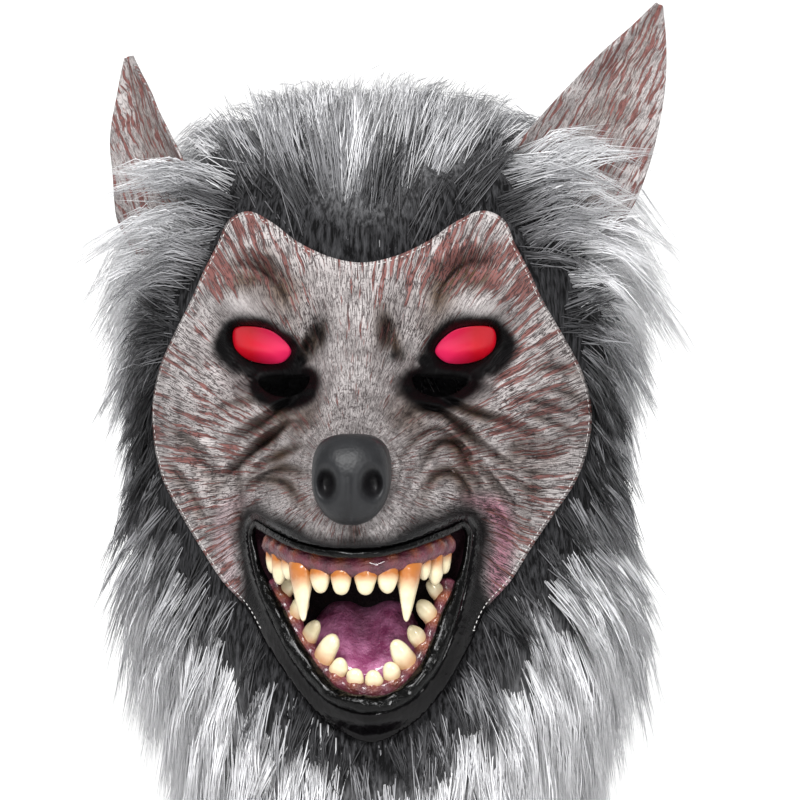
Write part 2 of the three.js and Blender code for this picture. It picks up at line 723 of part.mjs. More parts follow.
function makeTooth(arch, row, sign, upper, grow = 0) {
  const place = 0.5 + (sign * row.along) / 2;
  const at = arch.getPointAt(place);
  const along = arch.getTangentAt(place);
  const inwards = point(-along.z, 0, along.x).normalize();
  const up = upper ? point(0, -0.1, -1) : inwards.multiplyScalar(0.7).add(point(0, -0.3, 0.6));
  up.addScaledVector(along, -sign * Math.tan(row.lean * degrees)).normalize();
  const side = along.clone().addScaledVector(up, -along.dot(up)).normalize();
  const back = up.clone().cross(side);
  const fang = row.kind === "fang";
  const [long, wide] = upper
    ? [fang ? fangLength : upperToothLength, fang ? fangWidth : upperToothWidth]
    : [lowerToothLength, lowerToothWidth];
  const rings = taper[row.kind].map(({ high, wide: share }) =>
    Array.from({ length: 6 }, (_, c) => {
      const turn = (c / 6) * 2 * Math.PI;
      const half = (wide * row.wide * share) / 2 + grow;
      return at
        .clone()
        .addScaledVector(up, high * long * row.long)
        .addScaledVector(side, half * Math.cos(turn))
        .addScaledVector(back, half * 0.75 * Math.sin(turn));
    }),
  );
  return loft(rings);
}

// The tongue lies on the floor of the mouth, with a groove down its middle
function makeTongue() {
  const from = throat();
  const to = lowerArch.getPointAt(0.5).add(point(0, gumThickness, gumHeight / 2));
  const rings = tongueSections.map(({ along, wide, thick, rise }) => {
    const at = from.clone().lerp(to, along).add(point(0, 0, rise * tongueThickness));
    return Array.from({ length: 12 }, (_, c) => {
      const turn = (c / 12) * 2 * Math.PI;
      const [across, up] = [Math.cos(turn), Math.sin(turn)];
      const groove = up > 0 ? 1 - 0.55 * Math.exp(-((across / 0.35) ** 2)) : 1;
      return at
        .clone()
        .add(point((across * wide * tongueWidth) / 2, 0, up * groove * thick * tongueThickness));
    });
  });
  return largest(loft(rings).intersect(mouthSpace).subtract(gumBar(lowerArch, seam)));
}

// A cupped ear, standing on the side of the crown, grown by a margin as a cutter
function earSheet(ear, grow = 0) {
  const root = hoodPoint(ear.sign * ear.angle * degrees, crownTop - ear.down * hoodDrop).at;
  const up = point(ear.sign * Math.sin(ear.outward * degrees), 0, Math.cos(ear.outward * degrees));
  const side = point(up.z, 0, -up.x).applyAxisAngle(up, ear.sign * ear.twist * degrees);
  const front = up.clone().cross(side).multiplyScalar(-1);
  const points = (lift) =>
    earSections.map(({ along, inner, outer, cup }, row) =>
      Array.from({ length: 7 }, (_, c) => {
        const half = ((inner + outer) / 2) * earWidth * ear.wide;
        const middle = ear.sign * ((outer - inner) / 2) * earWidth * ear.wide;
        const past = c === 0 ? -grow / half : c === 6 ? grow / half : 0;
        const across = c / 3 - 1 + past;
        const end = row === 0 ? -grow : row === earSections.length - 1 ? grow : 0;
        const bend = cup * earCup * across ** 2 + lift;
        return root
          .clone()
          .addScaledVector(up, along * earLength * ear.long - (1 - along) * earRoot + end)
          .addScaledVector(side, middle + across * half)
          .addScaledVector(front, bend);
      }),
    );
  return sheet(points(earWall / 2 + grow), points(-earWall / 2 - grow));
}

const makeEar = (ear) => largest(earSheet(ear).subtract(hoodBody(seam, earRoot)));

// The pile's outer surface: the hood's, moved out by a share of the pile's depth there
function furPoint(angle, z, share = 1) {
  const down = clamp((crownTop - z) / hoodDrop, 0, 1);
  const end = across(furSections, Math.cos(angle) > 0 ? "front" : "back", down);
  const depth = end + (across(furSections, "side", down) - end) * Math.sin(angle) ** 2;
  return hoodPoint(angle, z, depth * furDepth * share);
}

// The way the pile is brushed: back over the crown, outwards and down over the sides
function brushed(angle, down, normal) {
  const fall = clamp((down - 0.03) / 0.22, 0, 1);
  const flow = point(0.55 * Math.sin(angle), 1 - 0.75 * fall, -1.3 * fall);
  return flow.addScaledVector(normal, -flow.dot(normal)).normalize();
}

// One lock of fur: a tapered strip that leaves the pile and lies down along it
function makeLock(angle, row, size) {
  const z = crownTop - row.down * hoodDrop;
  const { at, normal } = furPoint(angle, z, 0.72);
  const flow = brushed(angle, row.down, normal);
  const side = flow.clone().cross(normal);
  const [long, wide] = [lockLength * row.long * size, lockWidth * row.wide];
  const rings = [
    { along: 0, wide: 1, lift: -0.1 },
    { along: 0.55, wide: 0.85, lift: 0.75 },
    { along: 1, wide: 0.06, lift: 1 },
  ].map((part) => {
    const middle = at
      .clone()
      .addScaledVector(flow, part.along * long)
      .addScaledVector(normal, part.lift * row.lift * long);
    const half = (part.wide * wide) / 2;
    return [
      middle.clone().addScaledVector(side, half),
      middle.clone().addScaledVector(normal, half * 0.6),
      middle.clone().addScaledVector(side, -half),
    ];
  });
  return loft(rings);
}

function makeFur() {
  const columns = 20;
  const round = Array.from({ length: columns }, (_, c) => (c / columns) * 2 * Math.PI);
  const pile = loft(hoodHeights.map((z) => round.map((angle) => furPoint(angle, z).at)));
  const locks = lockRows.flatMap((row, r) =>
    Array.from({ length: row.count }, (_, i) => {
      const angle = ((i + (r % 2) / 2) / row.count) * 2 * Math.PI;
      const size = 0.9 + 0.2 * Math.sin(i * 2.4 + r * 1.7);
      return makeLock(angle, row, size);
    }),
  );
  const coat = wasm.Manifold.union([pile, ...locks]);
  const cutters = [
    hoodBody(seam, lockLength * 2),
    prism(outline(faceEdge, edgeSteps, seam), -reach, 0),
    ...ears.map((ear) => earSheet(ear, seam * 2)),
  ];
  return largest(coat.subtract(wasm.Manifold.union(cutters)));
}

const parts = new THREE.Group();
parts.name = "wolf_mask";

const finish = (color, roughness) => new THREE.MeshStandardMaterial({ color, roughness, metalness: 0 });
const latex = finish(0xa9a5a4, 0.6);
const fauxFur = finish(0x8b8a8c, 0.95);
const backing = finish(0x2b2a2c, 0.9);
const noseRubber = finish(0x3a3b3e, 0.55);
const lensResin = finish(0xd0102c, 0.2);
const lipRubber = finish(0x0c0b0d, 0.15);
const gumLatex = finish(0x7d3a52, 0.2);
const toothResin = finish(0xeee0c0, 0.35);

function add(name, made, material) {
  const mesh = new THREE.Mesh(geometryOf(made.simplify(fineness)), material);
  mesh.name = name;
  parts.add(mesh);
}

add("hood", makeHood(), backing);
add("fur", makeFur(), fauxFur);
ears.forEach((ear) => add(ear.name, makeEar(ear), latex));
add("face", makeFace(), latex);
add("nose", makeNose(), noseRubber);
add("lens_left", makeLens(1), lensResin);
add("lens_right", makeLens(-1), lensResin);
add("lips", makeLips(), lipRubber);
add("mouth_lining", makeLining(), gumLatex);
add("upper_gum", makeGum(upperArch), gumLatex);
add("lower_gum", makeGum(lowerArch), gumLatex);
add("tongue", makeTongue(), gumLatex);
for (const [jaw, arch, rows] of [
  ["upper", upperArch, upperTeeth],
  ["lower", lowerArch, lowerTeeth],
]) {
  let taken = gumBar(arch, seam).add(lipsGrown);
  for (const row of rows) {
    for (const [word, sign] of [
      ["left", 1],
      ["right", -1],
    ]) {
      const tooth = makeTooth(arch, row, sign, jaw === "upper").intersect(mouthSpace);
      add(`${jaw}_${row.name}_${word}`, largest(tooth.subtract(taken)), toothResin);
      taken = taken.add(makeTooth(arch, row, sign, jaw === "upper", seam));
    }
  }
}

export default parts;
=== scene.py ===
"""A full-head latex wolf mask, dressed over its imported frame: painted latex skin and ears, rubber
nose and lips, a wet mouth with resin teeth, red lenses and a hood of long faux fur. Shapes are worked
out in millimetres and their meshes written in metres. +Z is up, the face looks along -Y, the origin is
the inside of the crown, and "left" is the wearer's own."""

import math

import bmesh
import bpy
import numpy as np
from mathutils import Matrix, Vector
from mathutils.bvhtree import BVHTree
from mathutils.geometry import delaunay_2d_cdt


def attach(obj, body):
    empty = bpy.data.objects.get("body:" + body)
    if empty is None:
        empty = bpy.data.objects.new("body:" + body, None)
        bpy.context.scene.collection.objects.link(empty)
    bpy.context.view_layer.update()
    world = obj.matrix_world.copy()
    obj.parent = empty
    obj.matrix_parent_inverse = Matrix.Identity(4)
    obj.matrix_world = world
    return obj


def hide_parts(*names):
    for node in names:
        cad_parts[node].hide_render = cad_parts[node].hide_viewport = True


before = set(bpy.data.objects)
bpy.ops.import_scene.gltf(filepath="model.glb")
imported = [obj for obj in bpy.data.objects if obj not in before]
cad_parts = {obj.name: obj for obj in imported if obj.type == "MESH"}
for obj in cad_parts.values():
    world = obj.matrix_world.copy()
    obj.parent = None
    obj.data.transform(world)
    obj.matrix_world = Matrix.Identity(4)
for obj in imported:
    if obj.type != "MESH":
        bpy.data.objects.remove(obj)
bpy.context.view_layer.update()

MM = 0.001

# Sizes of the hood, as in the frame
hood_half = 100  # half the width across the cheeks
hood_front = 100  # from the crown's axis to the forehead
hood_back = 104
hood_drop = 310  # from the top of the crown to the hem
crown_drop = 127  # from the top of the crown down to the widest level
crown_roundness = 2.6
hood_wall = 2.5
face_overlap = 9  # how far the latex lies over the hood's edge

# Sizes of the latex face, as in the frame
face_half = 96
face_height = 218.5
brow_drop = 42.5  # from the top of the crown to the brow lobes
face_wall = 2.5
muzzle_reach = 59
relief = 10  # scale of the modelled dents and swellings
edge_blend = 14  # width of the band where the face comes down to the hood
jaw_skew = 6  # how far the soft jaw hangs to the wearer's left
seam = 0.4  # clearance between pieces

# Sizes of the nose, eyes, mouth, ears and pile, as in the frame
nose_width = 31
nose_height = 36
nose_reach = 17
nose_drop = 0.51  # share of the face's height
lens_bulge = 2.5
lens_wall = 2.4
lip_bead = 3.2
throat_depth = 60
throat_drop = 0.77
lining_wall = 2
gum_height = 9
gum_thickness = 8
upper_tooth = (12.5, 9.2)  # length and width
lower_tooth = (12, 9.4)
upper_fang = (26, 12.5)
tongue_width = 46
tongue_thickness = 9
ear_length = 112
ear_width = 66
ear_cup = 16
ear_wall = 3
ear_root = 22
fur_depth = 20

crown_top = hood_wall
face_top = crown_top - brow_drop


def table(columns, *rows):
    """A table whose columns are named and read as arrays."""
    return {name: np.array(values) for name, values in zip(columns.split(), zip(*rows))}


# Shares of hood_drop, and of the hood's half width, front and back
hood_sections = table(
    "down side front back",
    (0.41, 1.0, 1.0, 1.0),
    (0.52, 0.985, 1.03, 0.97),
    (0.63, 0.95, 1.1, 0.89),
    (0.74, 0.91, 1.2, 0.82),
    (0.85, 0.82, 1.27, 0.8),
    (0.94, 0.74, 1.23, 0.82),
    (1.0, 0.7, 1.2, 0.84),
)

# The pile's thickness as shares of fur_depth, its strands' length in millimetres and how pale they are
fur_sections = table(
    "down side front back long pale",
    (0.0, 0.9, 0.9, 0.9, 66, 0.74),
    (0.06, 1.75, 0.95, 1.0, 72, 0.76),
    (0.12, 1.75, 0.85, 1.1, 70, 0.84),
    (0.2, 1.15, 0.6, 1.2, 50, 0.9),
    (0.3, 0.85, 0.4, 1.3, 48, 0.72),
    (0.41, 0.7, 0.35, 1.3, 48, 0.52),
    (0.52, 0.95, 0.35, 1.3, 52, 0.55),
    (0.63, 1.15, 0.35, 1.3, 58, 0.68),
    (0.74, 0.95, 0.4, 1.3, 60, 0.78),
    (0.85, 0.95, 0.45, 1.2, 60, 0.82),
    (0.94, 0.8, 0.55, 1.1, 54, 0.84),
    (1.0, 0.6, 0.5, 0.9, 46, 0.84),
)

# Half the face's edge and half the mouth's: shares of face_half and face_height
face_edge = table(
    "side down",
    (0.0, 0.105),
    (0.135, 0.094),
    (0.28, 0.064),
    (0.41, 0.022),
    (0.52, 0.0),
    (0.61, 0.016),
    (0.66, 0.064),
    (0.72, 0.114),
    (0.78, 0.171),
    (0.875, 0.243),
    (0.953, 0.307),
    (1.0, 0.38),
    (0.984, 0.458),
    (0.927, 0.526),
    (0.833, 0.586),
    (0.729, 0.65),
    (0.625, 0.714),
    (0.52, 0.76),
    (0.443, 0.821),
    (0.365, 0.874),
    (0.286, 0.92),
    (0.177, 0.966),
    (0.0, 1.0),
)
mouth_edge = table(
    "side down",
    (0.0, 0.636),
    (0.12, 0.633),
    (0.24, 0.622),
    (0.36, 0.604),
    (0.45, 0.592),
    (0.485, 0.612),
    (0.47, 0.67),
    (0.43, 0.74),
    (0.365, 0.81),
    (0.285, 0.872),
    (0.165, 0.925),
    (0.0, 0.943),
)

# The muzzle and jaw down the middle line
muzzle_sections = table(
    "down width reach",
    (0.0, 0.3, -0.2),
    (0.105, 0.31, 0.0),
    (0.183, 0.27, 0.1),
    (0.252, 0.25, 0.22),
    (0.32, 0.28, 0.39),
    (0.389, 0.35, 0.61),
    (0.458, 0.46, 0.86),
    (0.526, 0.56, 0.97),
    (0.595, 0.6, 1.0),
    (0.65, 0.61, 0.95),
    (0.732, 0.61, 0.8),
    (0.819, 0.61, 0.69),
    (0.92, 0.61, 0.65),
    (1.05, 0.61, 0.62),
)

# Swellings and dents, on both sides: brow lobe, lid pillow, hollow over it, eye socket, furrow,
# cheekbone, snarl ridge and valley, whisker pad, cheek valley and jowl
swellings = table(
    "side down wide tall turn rise",
    (0.52, 0.069, 0.21, 0.082, 0, 0.8),
    (0.49, 0.185, 0.18, 0.038, 12, 1.0),
    (0.46, 0.122, 0.17, 0.04, 8, -0.8),
    (0.42, 0.285, 0.22, 0.052, 12, -1.6),
    (0.17, 0.24, 0.07, 0.05, -18, -0.5),
    (0.7, 0.35, 0.2, 0.07, 0, 0.9),
    (0.37, 0.395, 0.14, 0.035, 30, 0.6),
    (0.35, 0.45, 0.14, 0.035, 25, -0.5),
    (0.33, 0.56, 0.15, 0.042, 0, 0.9),
    (0.55, 0.53, 0.09, 0.09, -25, -0.5),
    (0.68, 0.52, 0.12, 0.06, -30, 0.5),
)

lens_edge = table(
    "side down",
    (0.31, 0.272),
    (0.38, 0.236),
    (0.47, 0.224),
    (0.57, 0.228),
    (0.578, 0.262),
    (0.53, 0.286),
    (0.44, 0.298),
    (0.35, 0.294),
)
peep_edge = table(
    "side down",
    (0.225, 0.32),
    (0.31, 0.317),
    (0.4, 0.318),
    (0.46, 0.328),
    (0.41, 0.352),
    (0.32, 0.36),
    (0.24, 0.345),
)

# The teeth on one side: place along the gum, sizes as shares, lean in degrees
upper_teeth = table(
    "name along fang long wide lean",
    ("fang", 0.46, True, 1.0, 1.0, 4),
    ("incisor_1", 0.088, False, 0.95, 0.95, 0),
    ("incisor_2", 0.265, False, 1.0, 0.95, 3),
    ("premolar", 0.625, False, 0.9, 0.75, 0),
    ("molar_1", 0.775, False, 1.2, 0.9, 0),
    ("molar_2", 0.92, False, 0.95, 0.75, 0),
)
lower_teeth = table(
    "name along fang long wide lean",
    ("incisor_1", 0.065, False, 0.75, 0.85, 0),
    ("incisor_2", 0.2, False, 0.85, 0.85, 0),
    ("fang", 0.345, False, 1.25, 1.0, 4),
    ("premolar", 0.51, False, 1.0, 0.8, 0),
    ("molar_1", 0.69, False, 1.05, 0.85, 0),
    ("molar_2", 0.86, False, 0.9, 0.75, 0),
)
upper_gum_rows = table(
    "side down back",
    (0.0, 0.668, 2.3),
    (0.11, 0.665, 2.3),
    (0.24, 0.653, 2.4),
    (0.33, 0.641, 2.6),
    (0.385, 0.634, 2.9),
)
lower_gum_rows = table(
    "side down back",
    (0.0, 0.905, 3.2),
    (0.12, 0.892, 3.2),
    (0.22, 0.85, 3.2),
    (0.3, 0.79, 3.3),
    (0.345, 0.745, 3.4),
    (0.375, 0.7, 3.5),
)

# How a blunt tooth and a fang taper from gum to tip
peg_taper = table(
    "high wide",
    (-0.25, 0.86),
    (0.0, 0.92),
    (0.35, 1.0),
    (0.6, 0.93),
    (0.8, 0.76),
    (0.92, 0.52),
    (0.98, 0.26),
    (1.0, 0.05),
)
fang_taper = table(
    "high wide",
    (-0.12, 0.94),
    (0.1, 0.96),
    (0.35, 0.82),
    (0.6, 0.58),
    (0.82, 0.36),
    (0.94, 0.22),
    (0.99, 0.1),
    (1.0, 0.03),
)

tongue_sections = table(
    "along wide thick rise",
    (-0.1, 0.7, 0.9, 0),
    (0.25, 0.95, 1.0, 0.1),
    (0.55, 1.0, 0.85, 0.05),
    (0.8, 0.8, 0.6, 0.0),
    (0.95, 0.5, 0.4, 0.05),
    (1.0, 0.25, 0.15, 0.1),
)
ear_sections = table(
    "along inner outer cup",
    (0.0, 0.3, 0.1, 0.5),
    (0.15, 0.47, 0.35, 0.9),
    (0.3, 0.51, 0.43, 1.0),
    (0.45, 0.44, 0.42, 0.9),
    (0.6, 0.34, 0.37, 0.7),
    (0.76, 0.22, 0.28, 0.5),
    (0.89, 0.1, 0.17, 0.25),
    (1.0, 0.01, 0.05, 0.05),
)
ears = table(
    "name sign angle down long wide outward twist",
    ("ear_left", 1, 74, 0.135, 0.91, 0.92, 25, 8),
    ("ear_right", -1, 72, 0.15, 0.7, 0.8, 17, 38),
)


# Shared arithmetic
def rows_of(rows):
    """A table's rows as dictionaries."""
    return [dict(zip(rows, values)) for values in zip(*rows.values())]


def smooth(t):
    t = np.clip(t, 0, 1)
    return t * t * (3 - 2 * t)


def unit(v):
    return v / np.maximum(np.linalg.norm(v, axis=-1, keepdims=True), 1e-9)


def mix(a, b, t):
    return a + (b - a) * t


def bell(t):
    """1 at nought, falling off smoothly on both sides."""
    return np.exp(-t * t)


def mound(u, v):
    """The same in two directions at once."""
    return np.exp(-u * u - v * v)


def turns(steps):
    """Evenly spaced angles once round."""
    return np.linspace(0, 2 * np.pi, steps, endpoint=False)


def across(rows, column, at, by="down"):
    """A table's column at places along it, smooth through its rows."""
    x, y = rows[by], rows[column]
    slopes = np.diff(y) / np.diff(x)
    bends = np.concatenate([slopes[:1], (slopes[1:] + slopes[:-1]) / 2, slopes[-1:]])
    i = np.clip(np.searchsorted(x, at, side="right") - 1, 0, len(x) - 2)
    span = x[i + 1] - x[i]
    t = np.clip((at - x[i]) / span, 0, 1)
    return (
        y[i] * (1 + 2 * t) * (1 - t) ** 2
        + y[i + 1] * t * t * (3 - 2 * t)
        + span * (bends[i] * t * (1 - t) ** 2 - bends[i + 1] * t * t * (1 - t))
    )


def curve(points, steps, closed=True):
    """Evenly spaced points of a smooth curve through the given ones."""
    points = np.asarray(points, float)
    if closed:
        padded = np.concatenate([points[-1:], points, points[:2]])
    else:
        padded = np.concatenate([[2 * points[0] - points[1]], points, [2 * points[-1] - points[-2]]])
    t = np.linspace(0, 1, 24, endpoint=False)[:, None]
    fine = []
    for a, b, c, d in zip(padded, padded[1:], padded[2:], padded[3:]):
        gaps = (b - a, c - b, d - c)
        before, here, after = (max(np.linalg.norm(gap) ** 0.5, 1e-6) for gap in gaps)
        leave = ((b - a) / before - (c - a) / (before + here) + (c - b) / here) * here
        arrive = ((c - b) / here - (d - b) / (here + after) + (d - c) / after) * here
        fine.append(
            b * (1 + 2 * t) * (1 - t) ** 2
            + c * t * t * (3 - 2 * t)
            + leave * t * (1 - t) ** 2
            - arrive * t * t * (1 - t)
        )
    fine.append(points[:1] if closed else points[-1:])
    fine = np.concatenate(fine)
    run = np.concatenate([[0], np.cumsum(np.linalg.norm(np.diff(fine, axis=0), axis=1))])
    at = np.linspace(0, run[-1], steps + 1)
    spaced = np.stack([np.interp(at, run, fine[:, k]) for k in range(fine.shape[1])], 1)
    return spaced[:-1] if closed else spaced


def rumple(u, v, seed):
    """Smooth seeded noise between -1 and 1, with features one unit wide."""
    i, j = np.floor(u).astype(np.int64), np.floor(v).astype(np.int64)
    s, t = smooth(u - i), smooth(v - j)

    def corner(a, b):
        mixed = np.sin(a * 127.1 + b * 311.7 + seed * 74.7) * 43758.5453
        return 2 * (mixed - np.floor(mixed)) - 1

    low = mix(corner(i, j), corner(i + 1, j), s)
    high = mix(corner(i, j + 1), corner(i + 1, j + 1), s)
    return mix(low, high, t)


# The hood's and the face's surfaces
def drop_of(down):
    return face_top - down * face_height


def sway(z):
    """The soft jaw hangs a little to one side, and so does what is round it."""
    start = drop_of(nose_drop + 0.08)
    return jaw_skew * smooth((start - z) / (start - drop_of(1)))


def placed(side, down):
    """Shares of the face as x and z."""
    z = drop_of(down)
    return np.stack([side * face_half + sway(z), z], -1)


def hood_size(z):
    drop = crown_top - z
    crown = np.clip((crown_drop - drop) / crown_drop, 0, 1)
    arc = (1 - crown**crown_roundness) ** (1 / crown_roundness)
    down = np.maximum(hood_sections["down"][0], drop / hood_drop)
    sizes = zip(("side", "front", "back"), (hood_half, hood_front, hood_back))
    return [arc * across(hood_sections, column, down) * size for column, size in sizes]


def hood_place(angle, z):
    side, front, back = hood_size(z)
    depth = np.where(np.cos(angle) > 0, front, back)
    return np.stack(np.broadcast_arrays(side * np.sin(angle) + sway(z), -depth * np.cos(angle), z), -1)


def hood_point(angle, z, lift=0.0):
    """The hood's outside, moved out by a lift, and the way out: angle 0 is the front, 90 the left."""
    turned = hood_place(angle + 0.02, z) - hood_place(angle - 0.02, z)
    risen = hood_place(angle, z + 0.05) - hood_place(angle, z - 0.05)
    normal = unit(np.cross(turned, risen))
    return hood_place(angle, z) + normal * np.asarray(lift)[..., None], normal


def hood_reach(x, z):
    side, front, _ = hood_size(z)
    return front * np.sqrt(np.maximum(0.03, 1 - (x / np.maximum(side, 1)) ** 2))


def fur_lift(angle, z):
    """The pile's thickness over the hood."""
    down = np.clip((crown_top - z) / hood_drop, 0, 1)
    front, back, side = (across(fur_sections, column, down) for column in ("front", "back", "side"))
    end = np.where(np.cos(angle) > 0, front, back)
    return fur_depth * (end + (side - end) * np.sin(angle) ** 2)


def inside(edge, x, z):
    """Signed distance to a closed outline, positive inside."""
    x, z = np.asarray(x, float)[..., None], np.asarray(z, float)[..., None]
    ax, az = edge.T
    bx, bz = np.roll(edge, -1, 0).T
    dx, dz = bx - ax, bz - az
    t = np.clip(((x - ax) * dx + (z - az) * dz) / (dx * dx + dz * dz), 0, 1)
    near = np.hypot(x - ax - t * dx, z - az - t * dz).min(-1)
    with np.errstate(divide="ignore", invalid="ignore"):
        crossed = ((az > z) != (bz > z)) & (x < dx * (z - az) / dz + ax)
    return np.where(crossed.sum(-1) % 2 == 1, near, -near)


def grown(edge, grow):
    """An outline pushed outwards."""
    along = unit(np.roll(edge, -1, 0) - np.roll(edge, 1, 0))
    area = (edge[:, 0] * np.roll(edge[:, 1], -1) - np.roll(edge[:, 0], -1) * edge[:, 1]).sum()
    out = np.stack([along[:, 1], -along[:, 0]], 1) * np.sign(area)
    return edge + out * grow


def outline(half, steps, grow=0.0):
    """The closed outline of a half table, mirrored, smoothed and grown."""
    right = placed(half["side"], half["down"])
    left = placed(-half["side"][1:-1], half["down"][1:-1])[::-1]
    return grown(curve(np.concatenate([right, left]), steps), grow)


def patch(rows, sign, steps, grow=0.0):
    """A closed outline on one side of the face."""
    return grown(curve(placed(sign * rows["side"], rows["down"]), steps), grow)


face_outline = outline(face_edge, 72)
mouth_outline = outline(mouth_edge, 120)
lens_outlines = [patch(lens_edge, sign, 40) for sign in (1, -1)]
peep_outlines = [patch(peep_edge, sign, 40) for sign in (1, -1)]


def inside_either(outlines, x, z):
    """Signed distance to the nearer of two outlines."""
    return np.maximum(*(inside(edge, x, z) for edge in outlines))


def face_reach(x, z):
    """How far the latex face reaches forwards at a place of the front view, without its fine folds."""
    edge_in = inside(face_outline, x, z)
    x = x - sway(z)
    down = (face_top - z) / face_height
    ground = hood_reach(x, z) + seam + face_wall
    width = across(muzzle_sections, "width", down) * face_half
    middle = hood_front + across(muzzle_sections, "reach", down) * muzzle_reach
    share = np.maximum(0, 1 - np.abs(x / width) ** 2.4) ** 2
    raise_by = (middle - hood_reach(0 * x, z)) * share
    for s in rows_of(swellings):
        turn = math.radians(s["turn"])
        dx, dz = np.abs(x) - s["side"] * face_half, (s["down"] - down) * face_height
        u = (dx * math.cos(turn) + dz * math.sin(turn)) / (s["wide"] * face_half)
        v = (dz * math.cos(turn) - dx * math.sin(turn)) / (s["tall"] * face_height)
        raise_by = raise_by + s["rise"] * relief * mound(u, v)
    return ground + raise_by * smooth(edge_in / edge_blend)


# Meshes
def grid(rows, columns, closed=False):
    """Quads of a grid of points that runs row by row; closed joins the last column to the first."""
    r, c = np.meshgrid(np.arange(rows - 1), np.arange(columns - (not closed)), indexing="ij")
    near, far, d = r * columns, (r + 1) * columns, (c + 1) % columns
    return np.stack([near + c, far + c, far + d, near + d], -1).reshape(-1, 4)


def fan(ring, middle):
    """Triangles from a ring of point numbers to a middle point."""
    return np.stack([ring, np.roll(ring, -1), np.full(len(ring), middle)], 1)


def loft(rings, joined=False):
    """A closed solid through rings of points: its ends are capped, or joined to each other."""
    rings = np.asarray(rings)
    count, columns = rings.shape[:2]
    points = rings.reshape(-1, 3)
    if joined:
        quads = grid(count + 1, columns, closed=True) % (count * columns)
        return points, [quads]
    ends = np.stack([rings[0].mean(0), rings[-1].mean(0)])
    first, last = np.arange(columns), np.arange(columns) + (count - 1) * columns
    caps = [fan(first, len(points)), fan(last[::-1], len(points) + 1)]
    return np.concatenate([points, ends]), [grid(count, columns, closed=True), *caps]


def shell(front, back, faces):
    """A closed sheet whose front and back share faces, with a rim along its open edges."""
    count = len(front)
    starts = np.concatenate([f.ravel() for f in faces])
    ends = np.concatenate([np.roll(f, -1, 1).ravel() for f in faces])
    keys, twins = starts * count + ends, ends * count + starts
    open_edge = ~np.isin(keys, twins)
    a, b = starts[open_edge], ends[open_edge]
    rim = np.stack([b, a, a + count, b + count], 1)
    return np.concatenate([front, back]), [*faces, *(f[:, ::-1] + count for f in faces), rim]


def new_object(name, data):
    """A new object in the scene."""
    made = bpy.data.objects.new(name, data)
    bpy.context.scene.collection.objects.link(made)
    return made


def settle(piece):
    """Turns a piece with its modifiers into a plain mesh."""
    bpy.context.view_layer.update()
    made = piece.evaluated_get(bpy.context.evaluated_depsgraph_get())
    mesh = bpy.data.meshes.new_from_object(made)
    piece.modifiers.clear()
    piece.data = mesh


def new_mesh(name, points, faces):
    """A Blender mesh from points in millimetres and arrays of faces."""
    mesh = bpy.data.meshes.new(name)
    corners = np.concatenate([f.ravel() for f in faces]).astype(np.int32)
    sizes = np.concatenate([np.full(len(f), f.shape[1]) for f in faces])
    starts = np.concatenate([[0], np.cumsum(sizes)[:-1]])
    mesh.vertices.add(len(points))
    mesh.vertices.foreach_set("co", (points * MM).astype(np.float32).ravel())
    mesh.loops.add(len(corners))
    mesh.loops.foreach_set("vertex_index", corners)
    mesh.polygons.add(len(sizes))
    mesh.polygons.foreach_set("loop_start", starts.astype(np.int32))
    mesh.polygons.foreach_set("use_smooth", np.ones(len(sizes), bool))
    mesh.update(calc_edges=True)
    return mesh


def face_outwards(mesh):
    soft = bmesh.new()
    soft.from_mesh(mesh)
    bmesh.ops.recalc_face_normals(soft, faces=soft.faces)
    soft.to_mesh(mesh)
    soft.free()


def make(name, made, material, outwards=True, **attributes):
    """A new object from points and faces, with values painted on its points."""
    points, faces = made
    mesh = new_mesh(name, points, faces)
    for key, values in attributes.items():
        values = np.asarray(values, np.float32)
        kind, field = ("FLOAT_VECTOR", "vector") if values.ndim == 2 else ("FLOAT", "value")
        mesh.attributes.new(key, kind, "POINT").data.foreach_set(field, values.ravel())
    if outwards:
        face_outwards(mesh)
    mesh.materials.append(material)
    return new_object(name, mesh)


def fit(piece, slot=None, *nodes):
    """Puts a finished piece into the frame in place of the nodes that it stands for."""
    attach(piece, "root")
    if nodes:
        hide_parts(*nodes)
    return piece


def cut_away(piece, cutter):
    """Cuts one closed piece out of another."""
    change = piece.modifiers.new("cut", "BOOLEAN")
    change.operation = "DIFFERENCE"
    change.solver = "EXACT"
    change.object = cutter
    settle(piece)
    bpy.data.objects.remove(cutter)


def prism(edge, near, far):
    """A closed outline in x and z, pushed along Y, as a cutter."""
    rings = [np.stack([edge[:, 0], np.full(len(edge), y), edge[:, 1]], 1) for y in (near, far)]
    return make("cutter", loft(rings), None)


# Materials
def paint(code):
    """An sRGB hex colour as linear RGBA."""
    parts = [int(code[i : i + 2], 16) / 255 for i in (1, 3, 5)]
    return tuple(c / 12.92 if c <= 0.04045 else ((c + 0.055) / 1.055) ** 2.4 for c in parts) + (1.0,)


def per(size):
    """A texture's scale for features of a size in millimetres, on Object coordinates in metres."""
    return 1000 / size


def add(tree, kind, inputs=(), out=None, **settings):
    """Adds a node with its settings and inputs, each a value or the socket that feeds it, and returns
    its output."""
    node = tree.nodes.new(kind if kind.startswith("Geometry") else "ShaderNode" + kind)
    for key, value in settings.items():
        setattr(node, key, value)
    for key, value in dict(inputs).items():
        socket = next(s for i, s in enumerate(node.inputs) if s.enabled and key in (i, s.name))
        if isinstance(value, bpy.types.NodeSocket):
            tree.links.new(value, socket)
        else:
            socket.default_value = value
    return next((s for s in node.outputs if s.enabled and out in (None, s.name)), None)


def painted(tree, name):
    """A value painted on the mesh's points."""
    return add(tree, "Attribute", (), "Fac", attribute_name=name)


def noise(tree, at, size, detail=2, roughness=0.5):
    """Cloudy noise with features of a size in millimetres."""
    inputs = {"Vector": at, "Scale": per(size), "Detail": detail, "Roughness": roughness}
    return add(tree, "TexNoise", inputs, "Fac")


